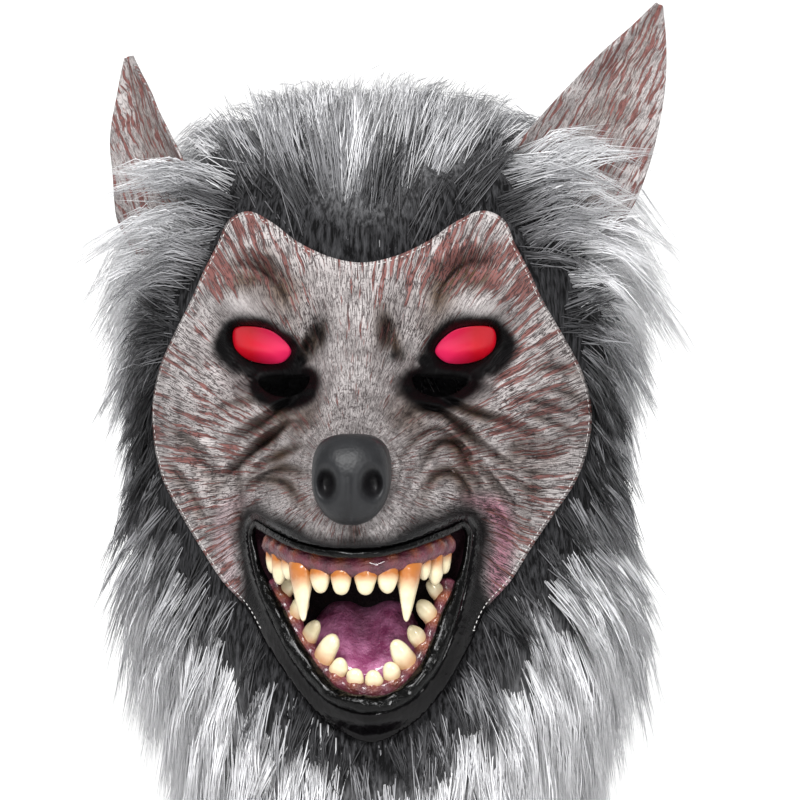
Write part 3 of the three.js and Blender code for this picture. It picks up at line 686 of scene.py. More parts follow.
def blend(tree, share, under, over):
    """One colour over another, each an sRGB code or a socket."""
    under, over = (paint(c) if isinstance(c, str) else c for c in (under, over))
    return add(tree, "Mix", {"Factor": share, "A": under, "B": over}, data_type="RGBA")


def ramp(tree, value, low, high):
    """A value stretched from low to high onto 0 to 1."""
    return add(tree, "MapRange", {"Value": value, "From Min": low, "From Max": high})


def dented(tree, height, depth, strength):
    """A bump of a depth in millimetres."""
    return add(tree, "Bump", {"Height": height, "Strength": strength, "Distance": depth * MM})


def material(name, finish):
    """A material whose shader gets the inputs that a function of its tree returns."""
    made = bpy.data.materials.new(name)
    made.use_nodes = True
    tree = made.node_tree
    tree.nodes.clear()
    add(tree, "OutputMaterial", {"Surface": add(tree, "BsdfPrincipled", finish(tree))})
    return made


def painted_latex(tree):
    """Cast latex, sponged and airbrushed: matt, its carved hair strokes filled with a red-brown wash
    and scratched with fine dark lines."""
    values = ("soot", "rust", "brown_wash_and_shade", "flesh", "scratch", "wet")
    soot, rust, brown_wash_and_shade, flesh, scratch, wet = (painted(tree, name) for name in values)
    grain = add(tree, "Attribute", (), "Vector", attribute_name="grain")
    here = add(tree, "TexCoord", (), "Object")
    waver = add(tree, "TexNoise", {"Vector": grain, "Scale": 1 / 11, "Detail": 2}, "Color")
    shift = add(tree, "VectorMath", {0: waver, 1: (3, 7, 0)}, operation="MULTIPLY")
    bent = add(tree, "VectorMath", {0: grain, 1: shift}, operation="ADD")
    wide = add(tree, "VectorMath", {0: bent, 1: (1 / 1.25, 1 / 13, 1)}, operation="MULTIPLY")
    fine = add(tree, "VectorMath", {0: bent, 1: (1 / 0.62, 1 / 6, 1)}, operation="MULTIPLY")
    brush = add(tree, "TexNoise", {"Vector": wide, "Scale": 1, "Detail": 2, "Roughness": 0.55}, "Fac")
    nib = add(tree, "TexNoise", {"Vector": fine, "Scale": 1, "Detail": 2, "Roughness": 0.6}, "Fac")
    cloud = noise(tree, here, 18, 3)
    speck = noise(tree, here, 1.1, 2)

    loaded = add(tree, "Math", {0: rust, 1: 0.24, 2: brush}, operation="MULTIPLY_ADD")
    washed = ramp(tree, loaded, 0.645, 0.7)
    off = add(tree, "Math", {0: nib, 1: 0.5}, operation="SUBTRACT")
    near = add(tree, "Math", {0: off}, operation="ABSOLUTE")
    line = ramp(tree, near, 0.045, 0.01)
    scored = add(tree, "Math", {0: line, 1: scratch}, operation="MULTIPLY")
    dotted = ramp(tree, speck, 0.56, 0.66)
    dots = add(tree, "Math", {0: dotted, 1: scratch}, operation="MULTIPLY")

    pale = ramp(tree, cloud, 0.35, 0.65)
    colour = blend(tree, pale, "#8f8988", "#b9b3b2")
    # The brown wash and the black paint hold painted shade besides the mask's own paint: in the creases and
    # hollows, under the whisker pads, in the ear cups and at the ears' roots.
    for share, coat in (
        (brown_wash_and_shade, "#55412f"),
        (flesh, "#946a76"),
        (washed, "#7c5450"),
        (dots, "#6a6162"),
        (scored, "#3a3030"),
        (soot, "#040304"),
    ):
        colour = blend(tree, share, colour, coat)

    sunk = add(tree, "Math", {0: washed, 1: -0.6}, operation="MULTIPLY")
    cut = add(tree, "Math", {0: scored, 1: -0.8, 2: sunk}, operation="MULTIPLY_ADD")
    raised = add(tree, "Math", {0: nib, 1: 0.9, 2: cut}, operation="MULTIPLY_ADD")
    dry = add(tree, "Math", {0: 1.0, 1: wet}, operation="SUBTRACT")
    runs = noise(tree, here, 5, 2)
    ripple = add(tree, "Math", {0: runs, 1: wet}, operation="MULTIPLY")
    height = add(tree, "Math", {0: raised, 1: dry, 2: ripple}, operation="MULTIPLY_ADD")
    bump = dented(tree, height, 0.6, 0.9)
    rough = add(tree, "MapRange", {"Value": wet, "To Min": 0.55, "To Max": 0.16})
    gloss = add(tree, "Math", {0: wet, 1: 0.12}, operation="MULTIPLY")
    return {
        "Base Color": colour,
        "Roughness": rough,
        "Normal": bump,
        "Specular IOR Level": 0.1,
        "Coat Weight": gloss,
        "Coat Roughness": 0.12,
    }


def nose_rubber(tree):
    """Latex painted dark grey and dusted: satin, with a leathery pebble."""
    here = add(tree, "TexCoord", (), "Object")
    soot = painted(tree, "soot")
    pebble = add(tree, "TexVoronoi", {"Vector": here, "Scale": per(1.3)}, "Distance")
    cloud = noise(tree, here, 7, 4)
    colour = blend(tree, cloud, "#121214", "#2a2b2d")
    # Near-black in the nostril pits: painted shade
    colour = blend(tree, soot, colour, "#0d0c0e")
    bump = dented(tree, pebble, 0.3, 0.25)
    return {"Base Color": colour, "Roughness": 0.45, "Normal": bump, "Specular IOR Level": 0.25}


def lens_resin(tree):
    """Cast acrylic, dyed through: a smooth, bright red with a polished face, pinker towards the inner
    corner as a painted highlight, and a faint painted glow.
    """
    glow = painted(tree, "glow")
    colour = blend(tree, glow, "#b80a1e", "#de2458")
    return {
        "Base Color": colour,
        "Roughness": 0.34,
        "IOR": 1.49,
        "Specular IOR Level": 0.3,
        # A faint painted glow: the lens gives no light of its own
        "Emission Color": colour,
        "Emission Strength": 0.16,
    }


def wet_black(tree):
    """Black latex under gloss varnish: almost a mirror, with runs and dimples."""
    here = add(tree, "TexCoord", (), "Object")
    runs = noise(tree, here, 4, 3, 0.6)
    bump = dented(tree, runs, 1.6, 0.9)
    return {
        "Base Color": paint("#040404"),
        "Roughness": 0.18,
        "Specular IOR Level": 0.1,
        "Normal": bump,
        "Coat Weight": 0.16,
        "Coat Roughness": 0.08,
    }


def wet_flesh(dark, light, edge, coat=0.4):
    """Purple-red latex under gloss varnish, with small wet pits."""

    def finish(tree):
        here = add(tree, "TexCoord", (), "Object")
        soot = painted(tree, "soot")
        stain = painted(tree, "stain")
        cloud = noise(tree, here, 6, 4)
        pits = noise(tree, here, 1.6, 2, 0.6)
        mixed = ramp(tree, cloud, 0.35, 0.65)
        colour = blend(tree, mixed, dark, light)
        colour = blend(tree, stain, colour, edge)
        # Near-black where painted shade lies deep in the mouth
        colour = blend(tree, soot, colour, "#120a0d")
        bump = dented(tree, pits, 1.1, 1.0)
        return {
            "Base Color": colour,
            "Roughness": 0.3 if coat else 0.8,
            "Specular IOR Level": 0.3 if coat else 0.1,
            "Normal": bump,
            "Coat Weight": coat,
            "Coat Roughness": 0.07,
        }

    return finish


def tooth_resin(tree):
    """Cast resin, ivory, stained orange-brown where it leaves the gum, under gloss varnish."""
    here = add(tree, "TexCoord", (), "Object")
    root = painted(tree, "root")
    cloud = noise(tree, here, 3, 3)
    base = blend(tree, cloud, "#c9b88c", "#e6dcc0")
    blot = add(tree, "Math", {0: cloud, 1: 0.5, 2: root}, operation="MULTIPLY_ADD")
    deep = ramp(tree, blot, 0.45, 1.15)
    colour = blend(tree, deep, base, "#a8642a")
    bump = dented(tree, cloud, 0.5, 0.3)
    return {"Base Color": colour, "Roughness": 0.3, "Normal": bump, "Coat Weight": 0.3}


def fur_fibre(tree):
    """Acrylic pile: near-black at the root, paler to the tip. Across the OFBake map runs each strand's
    paleness and up it its length."""
    where = add(tree, "UVMap", (), uv_map="OFBake")
    axes = add(tree, "SeparateXYZ", {"Vector": where}, "X")
    pale, along = axes, axes.node.outputs["Y"]
    tip = add(tree, "ValToRGB", {"Fac": pale})
    stops = tip.node.color_ramp.elements
    stops[0].position, stops[0].color = 0.0, paint("#141416")
    stops[1].position, stops[1].color = 1.0, paint("#f0f0f2")
    for position, code in ((0.3, "#4a4a4c"), (0.6, "#a3a3a6"), (0.8, "#dcdcde")):
        stops.new(position).color = paint(code)
    lit = ramp(tree, along, -0.3, 0.4)
    lit.node.interpolation_type = "SMOOTHSTEP"
    colour = blend(tree, lit, "#161618", tip)
    return {"Base Color": colour, "Roughness": 0.6, "Specular IOR Level": 0.25}


def dense_underfur(tree):
    """The short, dense acrylic fibres under the pile: dark and dull."""
    here = add(tree, "TexCoord", (), "Object")
    stretched = add(tree, "VectorMath", {0: here, 1: (per(1.4), per(1.4), per(9))}, operation="MULTIPLY")
    lie = add(tree, "TexNoise", {"Vector": stretched, "Scale": 1, "Detail": 3, "Roughness": 0.6}, "Fac")
    light = ramp(tree, lie, 0.4, 0.7)
    pale = painted(tree, "pale")
    shade = blend(tree, pale, "#0b0b0c", "#5c5c5e")
    shine = blend(tree, pale, "#3c3c3e", "#a6a6a8")
    colour = blend(tree, light, shade, shine)
    bump = dented(tree, lie, 1.5, 1.0)
    return {"Base Color": colour, "Roughness": 0.95, "Specular IOR Level": 0.1, "Normal": bump}


def knitted_backing(tree):
    """Knitted polyester, black: rows of small stitches."""
    here = add(tree, "TexCoord", (), "Object")
    cells = add(tree, "TexVoronoi", {"Vector": here, "Scale": per(1.6)}, "Distance")
    colour = blend(tree, cells, "#2c2c2f", "#101012")
    bump = dented(tree, cells, 0.5, 0.6)
    return {"Base Color": colour, "Roughness": 0.9, "Normal": bump}


def white_thread(tree):
    """Spun polyester thread, off-white."""
    here = add(tree, "TexCoord", (), "Object")
    twist = noise(tree, here, 0.5)
    colour = blend(tree, twist, "#9a9896", "#dedcd9")
    return {"Base Color": colour, "Roughness": 0.8}


latex = material("painted_latex", painted_latex)
nose_finish = material("nose_rubber", nose_rubber)
lens_finish = material("lens_resin", lens_resin)
lip_finish = material("wet_black_latex", wet_black)
gum_finish = material("wet_gum_latex", wet_flesh("#3a1722", "#66303f", "#8a4a24"))
# The throat's near-black purple is partly painted shade deep in the mouth
throat_finish = material("throat_latex", wet_flesh("#1c0a12", "#2c121c", "#1c0a12", coat=0))
tongue_finish = material("wet_tongue_latex", wet_flesh("#8c3f68", "#c078a0", "#5a2438", coat=0.7))
tooth_finish = material("tooth_resin", tooth_resin)
fibre = material("fur_fibre", fur_fibre)
underfur = material("underfur", dense_underfur)
knit = material("knitted_backing", knitted_backing)
thread = material("white_thread", white_thread)


# The hood's backing
def dome_height(t, below=0.0):
    """Heights from the crown, at 0, to the hem, at 1, or to a drop below it."""
    over = crown_drop * (1 - np.cos(np.minimum(t / 0.45, 1) * np.pi / 2))
    down = (hood_drop + below - crown_drop) * np.maximum(t - 0.45, 0) / 0.55
    return crown_top - np.maximum(over + down, 0.12)


def dome(lift_at, columns=72, rows=52, below=0.0):
    """Points round the head from the crown to the hem, lifted by a function of angle and height."""
    z = dome_height(np.linspace(0, 1, rows), below)
    angle = turns(columns)
    angles, heights = np.meshgrid(angle, z)
    points, _ = hood_point(angles, heights, lift_at(angles, heights))
    middle = points[0].mean(0)
    faces = [grid(rows, columns, closed=True), fan(np.arange(columns), rows * columns)]
    return np.concatenate([points.reshape(-1, 3), middle[None]]), faces


def make_hood():
    """The knitted shell under the fur, open below and where the face goes."""
    outside, faces = dome(lambda a, z: 0 * a - 0.05)
    lining, _ = dome(lambda a, z: 0 * a - hood_wall)
    hood = make("hood_backing", shell(outside, lining, faces), knit)
    cut_away(hood, prism(outline(face_edge, 160, -face_overlap), -240, 0))
    return fit(hood, "backing", "hood")


# The latex face
skin_step = 1.05  # spacing of the skin's points, fine enough for its folds


def crease(deep, wide, brown, *places):
    """A fold cut into the latex: depth and width in millimetres, how brown its wash and painted shade are
    from 0 to 1, and the places that it runs through, as shares of the face."""
    line = curve(placed(*np.array(places).T), 24, closed=False)
    return {"deep": deep, "wide": wide, "brown": brown, "line": line}


creases = [
    # The hollows over the eyes
    crease(2.2, 4.2, 1.0, (0.56, 0.1), (0.48, 0.1), (0.4, 0.118), (0.345, 0.15), (0.32, 0.19), (0.3, 0.22)),
    crease(2.2, 4.2, 1.0, (-0.6, 0.105), (-0.5, 0.108), (-0.41, 0.13), (-0.34, 0.165), (-0.3, 0.21)),
    # The snarl beside the nose, on the left and the right
    crease(
        2.4, 1.7, 1.0, (0.15, 0.37), (0.22, 0.352), (0.33, 0.364), (0.46, 0.386), (0.66, 0.414), (0.84, 0.46)
    ),
    crease(
        2.6, 1.9, 1.0, (0.17, 0.43), (0.21, 0.394), (0.27, 0.384), (0.36, 0.394), (0.45, 0.429), (0.57, 0.47)
    ),
    crease(1.6, 1.5, 0.9, (0.49, 0.446), (0.6, 0.48), (0.7, 0.502), (0.84, 0.513)),
    crease(
        2.6, 1.8, 1.0, (0.27, 0.5), (0.3, 0.47), (0.355, 0.444), (0.42, 0.455), (0.47, 0.5), (0.57, 0.555)
    ),
    crease(1.6, 1.5, 0.8, (0.47, 0.47), (0.56, 0.52), (0.64, 0.57), (0.7, 0.63)),
    crease(
        2.2, 1.6, 1.0, (0.29, 0.545), (0.32, 0.512), (0.37, 0.5), (0.43, 0.512), (0.47, 0.545), (0.48, 0.58)
    ),
    crease(1.2, 1.2, 0.7, (0.2, 0.47), (0.26, 0.435), (0.34, 0.42), (0.41, 0.437)),
    crease(1.2, 1.2, 0.7, (0.53, 0.5), (0.62, 0.545), (0.72, 0.59)),
    crease(2.6, 1.9, 1.0, (-0.18, 0.365), (-0.24, 0.36), (-0.33, 0.38), (-0.43, 0.408), (-0.58, 0.445)),
    crease(
        2.4, 1.8, 1.0, (-0.17, 0.41), (-0.28, 0.406), (-0.38, 0.433), (-0.48, 0.467),
        (-0.59, 0.51), (-0.65, 0.56),
    ),
    crease(2.0, 1.6, 0.9, (-0.18, 0.446), (-0.29, 0.461), (-0.41, 0.485), (-0.5, 0.515)),
    crease(2.0, 1.6, 0.9, (-0.19, 0.5), (-0.29, 0.494), (-0.4, 0.505), (-0.49, 0.53)),
    crease(2.2, 1.6, 1.0, (-0.2, 0.56), (-0.29, 0.522), (-0.42, 0.516), (-0.54, 0.545)),
    crease(1.0, 1.1, 0.6, (-0.2, 0.385), (-0.3, 0.393), (-0.42, 0.42)),
    # The cheeks
    crease(2.2, 3.2, 0.9, (0.62, 0.448), (0.72, 0.47), (0.82, 0.47), (0.9, 0.455)),
    crease(1.6, 1.6, 0.9, (0.7, 0.385), (0.82, 0.405), (0.95, 0.44)),
    crease(1.8, 1.8, 1.0, (0.74, 0.309), (0.87, 0.304), (0.97, 0.317)),
    crease(1.4, 1.5, 0.9, (0.66, 0.362), (0.8, 0.375), (0.93, 0.4)),
    crease(1.4, 1.5, 0.9, (0.78, 0.345), (0.88, 0.35), (0.97, 0.37)),
    crease(1.6, 1.8, 0.9, (0.6, 0.5), (0.7, 0.535), (0.8, 0.545)),
    crease(1.5, 1.6, 0.8, (0.53, 0.555), (0.6, 0.6), (0.66, 0.66)),
    crease(2.4, 3.2, 0.9, (-0.86, 0.45), (-0.72, 0.485), (-0.62, 0.55)),
    crease(1.8, 2.0, 0.9, (-0.93, 0.48), (-0.8, 0.535), (-0.68, 0.61)),
    crease(1.4, 1.6, 0.8, (-0.92, 0.42), (-0.8, 0.44), (-0.7, 0.47)),
    crease(1.2, 1.5, 0.7, (-0.67, 0.389), (-0.54, 0.372), (-0.41, 0.362)),
    crease(1.5, 1.7, 0.8, (-0.57, 0.48), (-0.53, 0.55), (-0.56, 0.65)),
    # The frown and the split under the nose
    crease(2.0, 2.0, 1.0, (0.1, 0.195), (0.11, 0.235), (0.115, 0.28)),
    crease(1.4, 1.4, 1.0, (0.135, 0.225), (0.15, 0.265), (0.19, 0.3)),
    crease(1.4, 1.4, 1.0, (-0.155, 0.21), (-0.17, 0.24), (-0.185, 0.275)),
    crease(1.6, 1.6, 1.0, (-0.185, 0.218), (-0.205, 0.25), (-0.225, 0.285)),
    crease(1.4, 1.4, 1.0, (-0.215, 0.235), (-0.24, 0.262), (-0.265, 0.29)),
    crease(1.2, 1.2, 0.6, (0.02, 0.59), (0.02, 0.622)),
]


def crease_marks(x, z):
    """How far the creases cut in at places of the front view, how brown they are with wash and painted
    shade, and the dark lines of painted shade in them."""
    cut, brown, lines = 0 * x, 0 * x, 0 * x
    for mark in creases:
        ax, az = mark["line"][:-1].T
        dx, dz = np.diff(mark["line"], axis=0).T
        t = np.clip(((x[:, None] - ax) * dx + (z[:, None] - az) * dz) / (dx * dx + dz * dz), 0, 1)
        far = np.hypot(x[:, None] - ax - t * dx, z[:, None] - az - t * dz)
        nearest = far.argmin(1)
        run = (nearest + np.take_along_axis(t, nearest[:, None], 1)[:, 0]) / len(ax)
        fade = np.sin(np.pi * np.clip(run, 0.04, 0.96)) ** 0.6
        off = far.min(1) / mark["wide"]
        cut += 1.8 * mark["deep"] * fade * (bell(off) - 0.6 * bell((off - 1.9) / 0.8))
        brown = np.maximum(brown, mark["brown"] * fade * bell(off / 1.8))
        lines = np.maximum(lines, mark["brown"] * fade * bell(far.min(1) / 0.9))
    return cut, brown, lines


def hair_polar(x, z):
    """The way that the carved hair runs, out from the bridge of the nose: turn and distance."""
    across_x, up = x - sway(z), z - drop_of(0.5)
    return np.arctan2(across_x, up), np.hypot(across_x, up)


def hollow(x, z, side, down, wide, tall):
    """A soft spot on the face, from 1 at its middle to 0 round it."""
    u = (x - sway(z) - side * face_half) / (wide * face_half)
    v = (face_top - z - down * face_height) / (tall * face_height)
    return mound(u, v)


# Soft forms of the skin, too shallow for the frame: hollow over the eye, lid pillow, dent under the eye,
# bridge's flank, whisker pad, cheek valleys and frown; rise in millimetres
soft_forms = table(
    "side down wide tall rise",
    (0.49, 0.12, 0.14, 0.03, -2.5),
    (-0.5, 0.12, 0.14, 0.03, -2.5),
    (0.5, 0.185, 0.13, 0.03, 4.0),
    (-0.5, 0.185, 0.13, 0.03, 4.0),
    (0.5, 0.335, 0.12, 0.03, -3.0),
    (-0.5, 0.335, 0.12, 0.03, -3.0),
    (0.18, 0.37, 0.05, 0.06, -3.6),
    (-0.19, 0.37, 0.05, 0.06, -3.6),
    (0.36, 0.555, 0.12, 0.03, 3.0),
    (-0.38, 0.555, 0.12, 0.03, 3.0),
    (0.74, 0.485, 0.13, 0.03, -3.6),
    (-0.7, 0.5, 0.13, 0.035, -3.6),
    (0.62, 0.4, 0.14, 0.05, 2.4),
    (-0.6, 0.42, 0.14, 0.05, 2.0),
    (0.105, 0.25, 0.035, 0.04, -3.0),
    (-0.19, 0.255, 0.045, 0.04, -3.0),
)


# Dark spots of the frown, beside the bridge of the nose: black paint, partly painted shade in the furrows
frown_spots = table(
    "side down wide tall",
    (-0.185, 0.243, 0.05, 0.034),
    (-0.23, 0.268, 0.05, 0.025),
    (0.115, 0.235, 0.032, 0.042),
    (0.16, 0.282, 0.05, 0.02),
)


def skin_reach(x, z):
    """The face's front with its creases, its carved tufts of hair, its lids and the roll of the lower
    lip."""
    cut = crease_marks(x, z)[0]
    turn, far = hair_polar(x, z)
    rim = inside(face_outline, x, z)
    lids = inside_either(lens_outlines, x, z)
    peeps = inside_either(peep_outlines, x, z)
    mouth = -inside(mouth_outline, x, z)
    tufts = 0.5 * rumple(turn * 26, far / 13, 1) + 0.3 * rumple(turn * 47 + 3, far / 8, 2)
    outer = smooth((far - 26) / 40)
    hood = smooth((z - drop_of(0.27)) / 10)
    forms = sum(form.pop("rise") * hollow(x, z, **form) for form in rows_of(soft_forms))
    lid = (1.2 + 1.6 * hood) * bell((lids + 2.6) / 2.2) - 0.9 * bell((lids + 7.5) / 3.0)
    sill = 0.9 * bell((peeps + 1.8) / 1.3)
    jaw = smooth((drop_of(0.66) - z) / 22)
    lip = 3.4 * jaw * bell((mouth - 4.5) / 4.5)
    nap = tufts * (0.45 + 0.65 * outer) * smooth(rim / 3) * (1 - jaw * smooth((12 - mouth) / 6))
    return face_reach(x, z) - cut * smooth(rim / 6) * smooth(mouth / 4) + nap + lid + sill + lip + forms


def skin_looks(x, z):
    """How much of each paint lies on the face, painted shade among it, and the way its hair strokes run:
    in logarithmic polar coordinates, so that the strokes are finer near the bridge of the nose."""
    turn, far = hair_polar(x, z)
    side, down = (x - sway(z)) / face_half, (face_top - z) / face_height
    grain = np.stack([turn * 62, np.log((far + 20) / 60) * 62, 0 * x], 1)
    _, brown, lines = crease_marks(x, z)
    blur = 3.0 * rumple(x / 7, z / 7, 12)
    mouth = -inside(mouth_outline, x, z)
    lids = blur * 0.4 - inside_either(lens_outlines, x, z)
    peeps = blur * 0.4 - inside_either(peep_outlines, x, z)
    near, far_out = np.minimum(lids, peeps), smooth((np.abs(side) - 0.48) / 0.1)
    reach = 1.8 + 4.5 * far_out * smooth((down - 0.2) / 0.06) + 2.0 * smooth((down - 0.3) / 0.05)
    between = smooth((11 - np.maximum(lids, peeps)) / 4) * smooth((9 - near) / 3)
    airbrush = np.maximum(1 - smooth((near - reach) / 5.5), between)
    streaks = 1.2 + 0.5 * rumple(x / 1.1, z / 6, 14)
    frown = 0.75 * streaks * np.maximum.reduce([hollow(x, z, **spot) for spot in rows_of(frown_spots)])
    jaw = smooth((down - 0.69) / 0.12)
    band = mix(0.6 + 2.4 * smooth((np.abs(side) - 0.12) / 0.15), 15, jaw)
    black = (1 - smooth((mouth - band - blur * 0.3) / mix(8, 2.5, jaw))) * smooth((down - 0.5) / 0.06)
    pad_shade = sum(0.7 * hollow(x, z, sign * 0.36, 0.592, 0.14, 0.016) for sign in (1, -1))
    # Dark lines of painted shade along the middle of the creases
    lines = lines * mix(0.8, 0.4, smooth((np.abs(side) - 0.45) / 0.2))
    lines = lines * (1 + 0.25 * rumple(x / 3, z / 3, 15))
    # Black: the mask's own airbrush round the eyes and paint round the mouth, with painted shade under the
    # whisker pads, along the creases and, partly, in the frown's furrows
    soot = np.maximum.reduce([airbrush, frown, black, pad_shade, lines])
    # Brown in the folds, in the hollows over the eyes and beside the nose: a wash in the recesses, partly
    # painted shade
    brown_wash_and_shade = brown * mix(1.0, 0.5, smooth((np.abs(side) - 0.4) / 0.2))
    for sign in (1, -1):
        brown_wash_and_shade = np.maximum(brown_wash_and_shade, 0.9 * hollow(x, z, sign * 0.49, 0.125, 0.14, 0.03))
        brown_wash_and_shade = np.maximum(brown_wash_and_shade, 0.8 * hollow(x, z, sign * 0.24, 0.4, 0.09, 0.04))
    brown_wash_and_shade = np.clip(brown_wash_and_shade + 0.25 * rumple(x / 8, z / 8, 5) * (brown_wash_and_shade > 0.15), 0, 1)
    pillow = sum(hollow(x, z, sign * 0.5, 0.19, 0.14, 0.03) for sign in (1, -1))
    cheek = smooth((np.abs(side) - 0.5) / 0.3)
    crown = smooth((0.22 - down) / 0.12)
    bridge = smooth((0.35 - np.abs(side)) / 0.2) * (1 - crown)
    rust = 0.3 + 0.2 * cheek + 0.32 * crown - 0.55 * pillow - 0.1 * bridge
    rust = rust + 0.28 * rumple(x / 16 + 5, z / 16, 9) + 0.15 * brown
    flesh = smooth((mouth - 1) / 3) * (1 - smooth((mouth - 13) / 7)) * smooth((down - 0.53) / 0.04)
    flesh = flesh * smooth((np.abs(side) - 0.38) / 0.08) * mix(0.35, 1, smooth(side / 0.2)) * (1 - black)
    scratch = np.clip(0.85 - 0.5 * pillow + 0.2 * rumple(x / 10, z / 10, 8), 0, 1)
    wet = black * mix(1 - smooth((mouth - 2) / 2), 1, jaw)
    looks = {"soot": soot, "rust": rust, "brown_wash_and_shade": brown_wash_and_shade, "flesh": flesh, "scratch": scratch, "wet": wet}
    return {"grain": grain, **{key: np.clip(value, 0, 1) for key, value in looks.items()}}


def make_face():
    """The face's front and back over its outline, with its holes."""
    edge = outline(face_edge, 420)
    eyes = [patch(rows, sign, 60) for sign in (1, -1) for rows in (lens_edge, peep_edge)]
    holes = [*eyes, outline(mouth_edge, 190)]
    low, high = edge.min(0), edge.max(0)
    rows = np.arange(low[1], high[1], skin_step * 0.866)
    x, z = np.meshgrid(np.arange(low[0], high[0], skin_step), rows)
    x = x + skin_step / 2 * (np.arange(len(rows)) % 2)[:, None]
    x, z = x.ravel(), z.ravel()
    clear = inside(edge, x, z) > skin_step * 0.6
    for hole in holes:
        clear &= inside(hole, x, z) < -skin_step * 0.6
    loops = [edge, *holes]
    flat = np.concatenate([*loops, np.stack([x[clear], z[clear]], 1)])
    starts = np.cumsum([0] + [len(loop) for loop in loops])
    rims = [(s + i, s + (i + 1) % n) for s, n in zip(starts, map(len, loops)) for i in range(n)]
    found = delaunay_2d_cdt([Vector(p) for p in flat.tolist()], rims, [], 0, 1e-5, False)
    flat, corners = np.array([tuple(p) for p in found[0]]), np.array(found[2])
    middle = flat[corners].mean(1)
    keep = inside(edge, *middle.T) > 0
    for hole in holes:
        keep &= inside(hole, *middle.T) < 0
    used = np.unique(corners[keep])
    flat, corners = flat[used], np.searchsorted(used, corners[keep])
    x, z = flat.T
    step = 0.6
    slope_x = (face_reach(x + step, z) - face_reach(x - step, z)) / (2 * step)
    slope_z = (face_reach(x, z + step) - face_reach(x, z - step)) / (2 * step)
    front = np.stack([x, -skin_reach(x, z), z], 1)
    normal = unit(np.stack([-slope_x, -np.ones_like(x), -slope_z], 1))
    back = front - normal * face_wall
    looks = {key: np.concatenate([value, value]) for key, value in skin_looks(x, z).items()}
    return fit(make("face_skin", shell(front, back, [corners]), latex, **looks), "latex", "face")


# The nose
def make_nose():
    rows, columns = 60, 72
    z = drop_of(nose_drop)
    y = -face_reach(np.zeros(1), np.full(1, z))[0]
    root = np.linspace(-0.9, 0, 10, endpoint=False)
    ball = np.sin(np.linspace(0, np.pi / 2, rows - 10))
    t, turn = np.meshgrid(np.concatenate([root, ball]), turns(columns), indexing="ij")
    size = np.where(t < 0, 1, np.maximum(0.02, (1 - np.clip(t, 0, 1) ** 2.6) ** 0.5))
    up = np.sin(turn)
    narrow = np.where(up < 0, 1 - 0.4 * up * up, 1)
    square = (np.abs(up) ** 3 + np.abs(np.cos(turn)) ** 3) ** (-1 / 3)
    x = nose_width / 2 * np.cos(turn) * square * narrow * size
    height = nose_height / 2 * up * square * size
    reach = nose_reach * t
    # The nostril pits, darkened inside with painted shade
    soot = 0 * x
    for sign in (1, -1):
        u = (x - sign * nose_width * 0.29) / (nose_width * 0.12)
        v = (height + nose_height * 0.04) / (nose_height * 0.15)
        pit = np.exp(-((u * u + v * v) ** 1.5))
        reach = reach - nose_reach * 0.5 * pit * (t > 0)
        soot = np.maximum(soot, smooth(pit * 1.4) * (t > 0))
    reach = reach - 1.2 * bell(x / 1.6) * (height < 2) * (t > 0.2)
    rings = np.stack([x, y - reach, z + height], -1)
    soot = np.concatenate([soot.ravel(), [0, 0]])
    return fit(make("nose", loft(rings), nose_finish, soot=soot), "nose_rubber", "nose")


# The lenses
def make_lens(name, sign):
    edge = patch(lens_edge, sign, 64, -seam)
    middle = edge.mean(0)
    shares = np.concatenate([np.linspace(0.03, 1, 14), np.linspace(1, 0.03, 14)])
    lifts = np.concatenate([np.full(14, -lens_wall), np.zeros(14)])
    rings = []
    for share, lift in zip(shares, lifts):
        x, z = (middle + (edge - middle) * share).T
        rim = face_reach(*edge.T)
        depth = mix(rim.mean(), rim, share**2) + lift + lens_bulge * (1 - share * share)
        rings.append(np.stack([x, -depth, z], 1))
    rings = np.stack(rings)
    # Pinker towards the inner corner: a painted highlight
    inner = (sign * (middle[0] - rings[..., 0]) / 12 + 0.3).ravel()
    glow = np.concatenate([np.clip(inner, 0, 1), [0, 0]])
    return fit(make(name + "_dome", loft(rings), lens_finish, glow=glow), "lens", name)


# The mouth
def lip_line(steps):
    """The middle, outward way and radius of the bead along the mouth's edge."""
    edge = outline(mouth_edge, steps, -seam)
    along = np.roll(edge, -1, 0) - np.roll(edge, 1, 0)
    out = unit(np.stack([-along[:, 1], along[:, 0]], 1))
    out *= np.where(inside(mouth_outline, *(edge + out).T) < 0, 1, -1)[:, None]
    radius = lip_bead * (0.5 + 0.6 * smooth((drop_of(0.66) - edge[:, 1]) / (0.12 * face_height)))
    middle = edge - out * radius[:, None]
    y = -face_reach(*middle.T) + face_wall / 2
    middle = np.stack([middle[:, 0], y, middle[:, 1]], 1)
    return middle, np.stack([out[:, 0], 0 * y, out[:, 1]], 1), radius


def make_lips():
    middle, out, radius = lip_line(260)
    turn = turns(20)
    run = np.arange(len(middle))
    knobbly = 1 + 0.16 * rumple(run[:, None] / 5.0, np.cos(turn)[None] * 1.5 + 7, 3)
    size = radius[:, None] * knobbly
    rings = middle[:, None] + out[:, None] * (size * np.cos(turn))[..., None]
    rings[..., 1] += size * 1.3 * np.sin(turn)
    return fit(make("lip_bead", loft(rings, joined=True), lip_finish), "lip_rubber", "lips")


def throat():
    lip = placed(0.0, mouth_edge["down"][0])
    x, z = placed(0.0, throat_drop)
    return np.array([x, throat_depth - face_reach(*lip[:, None])[0], z])


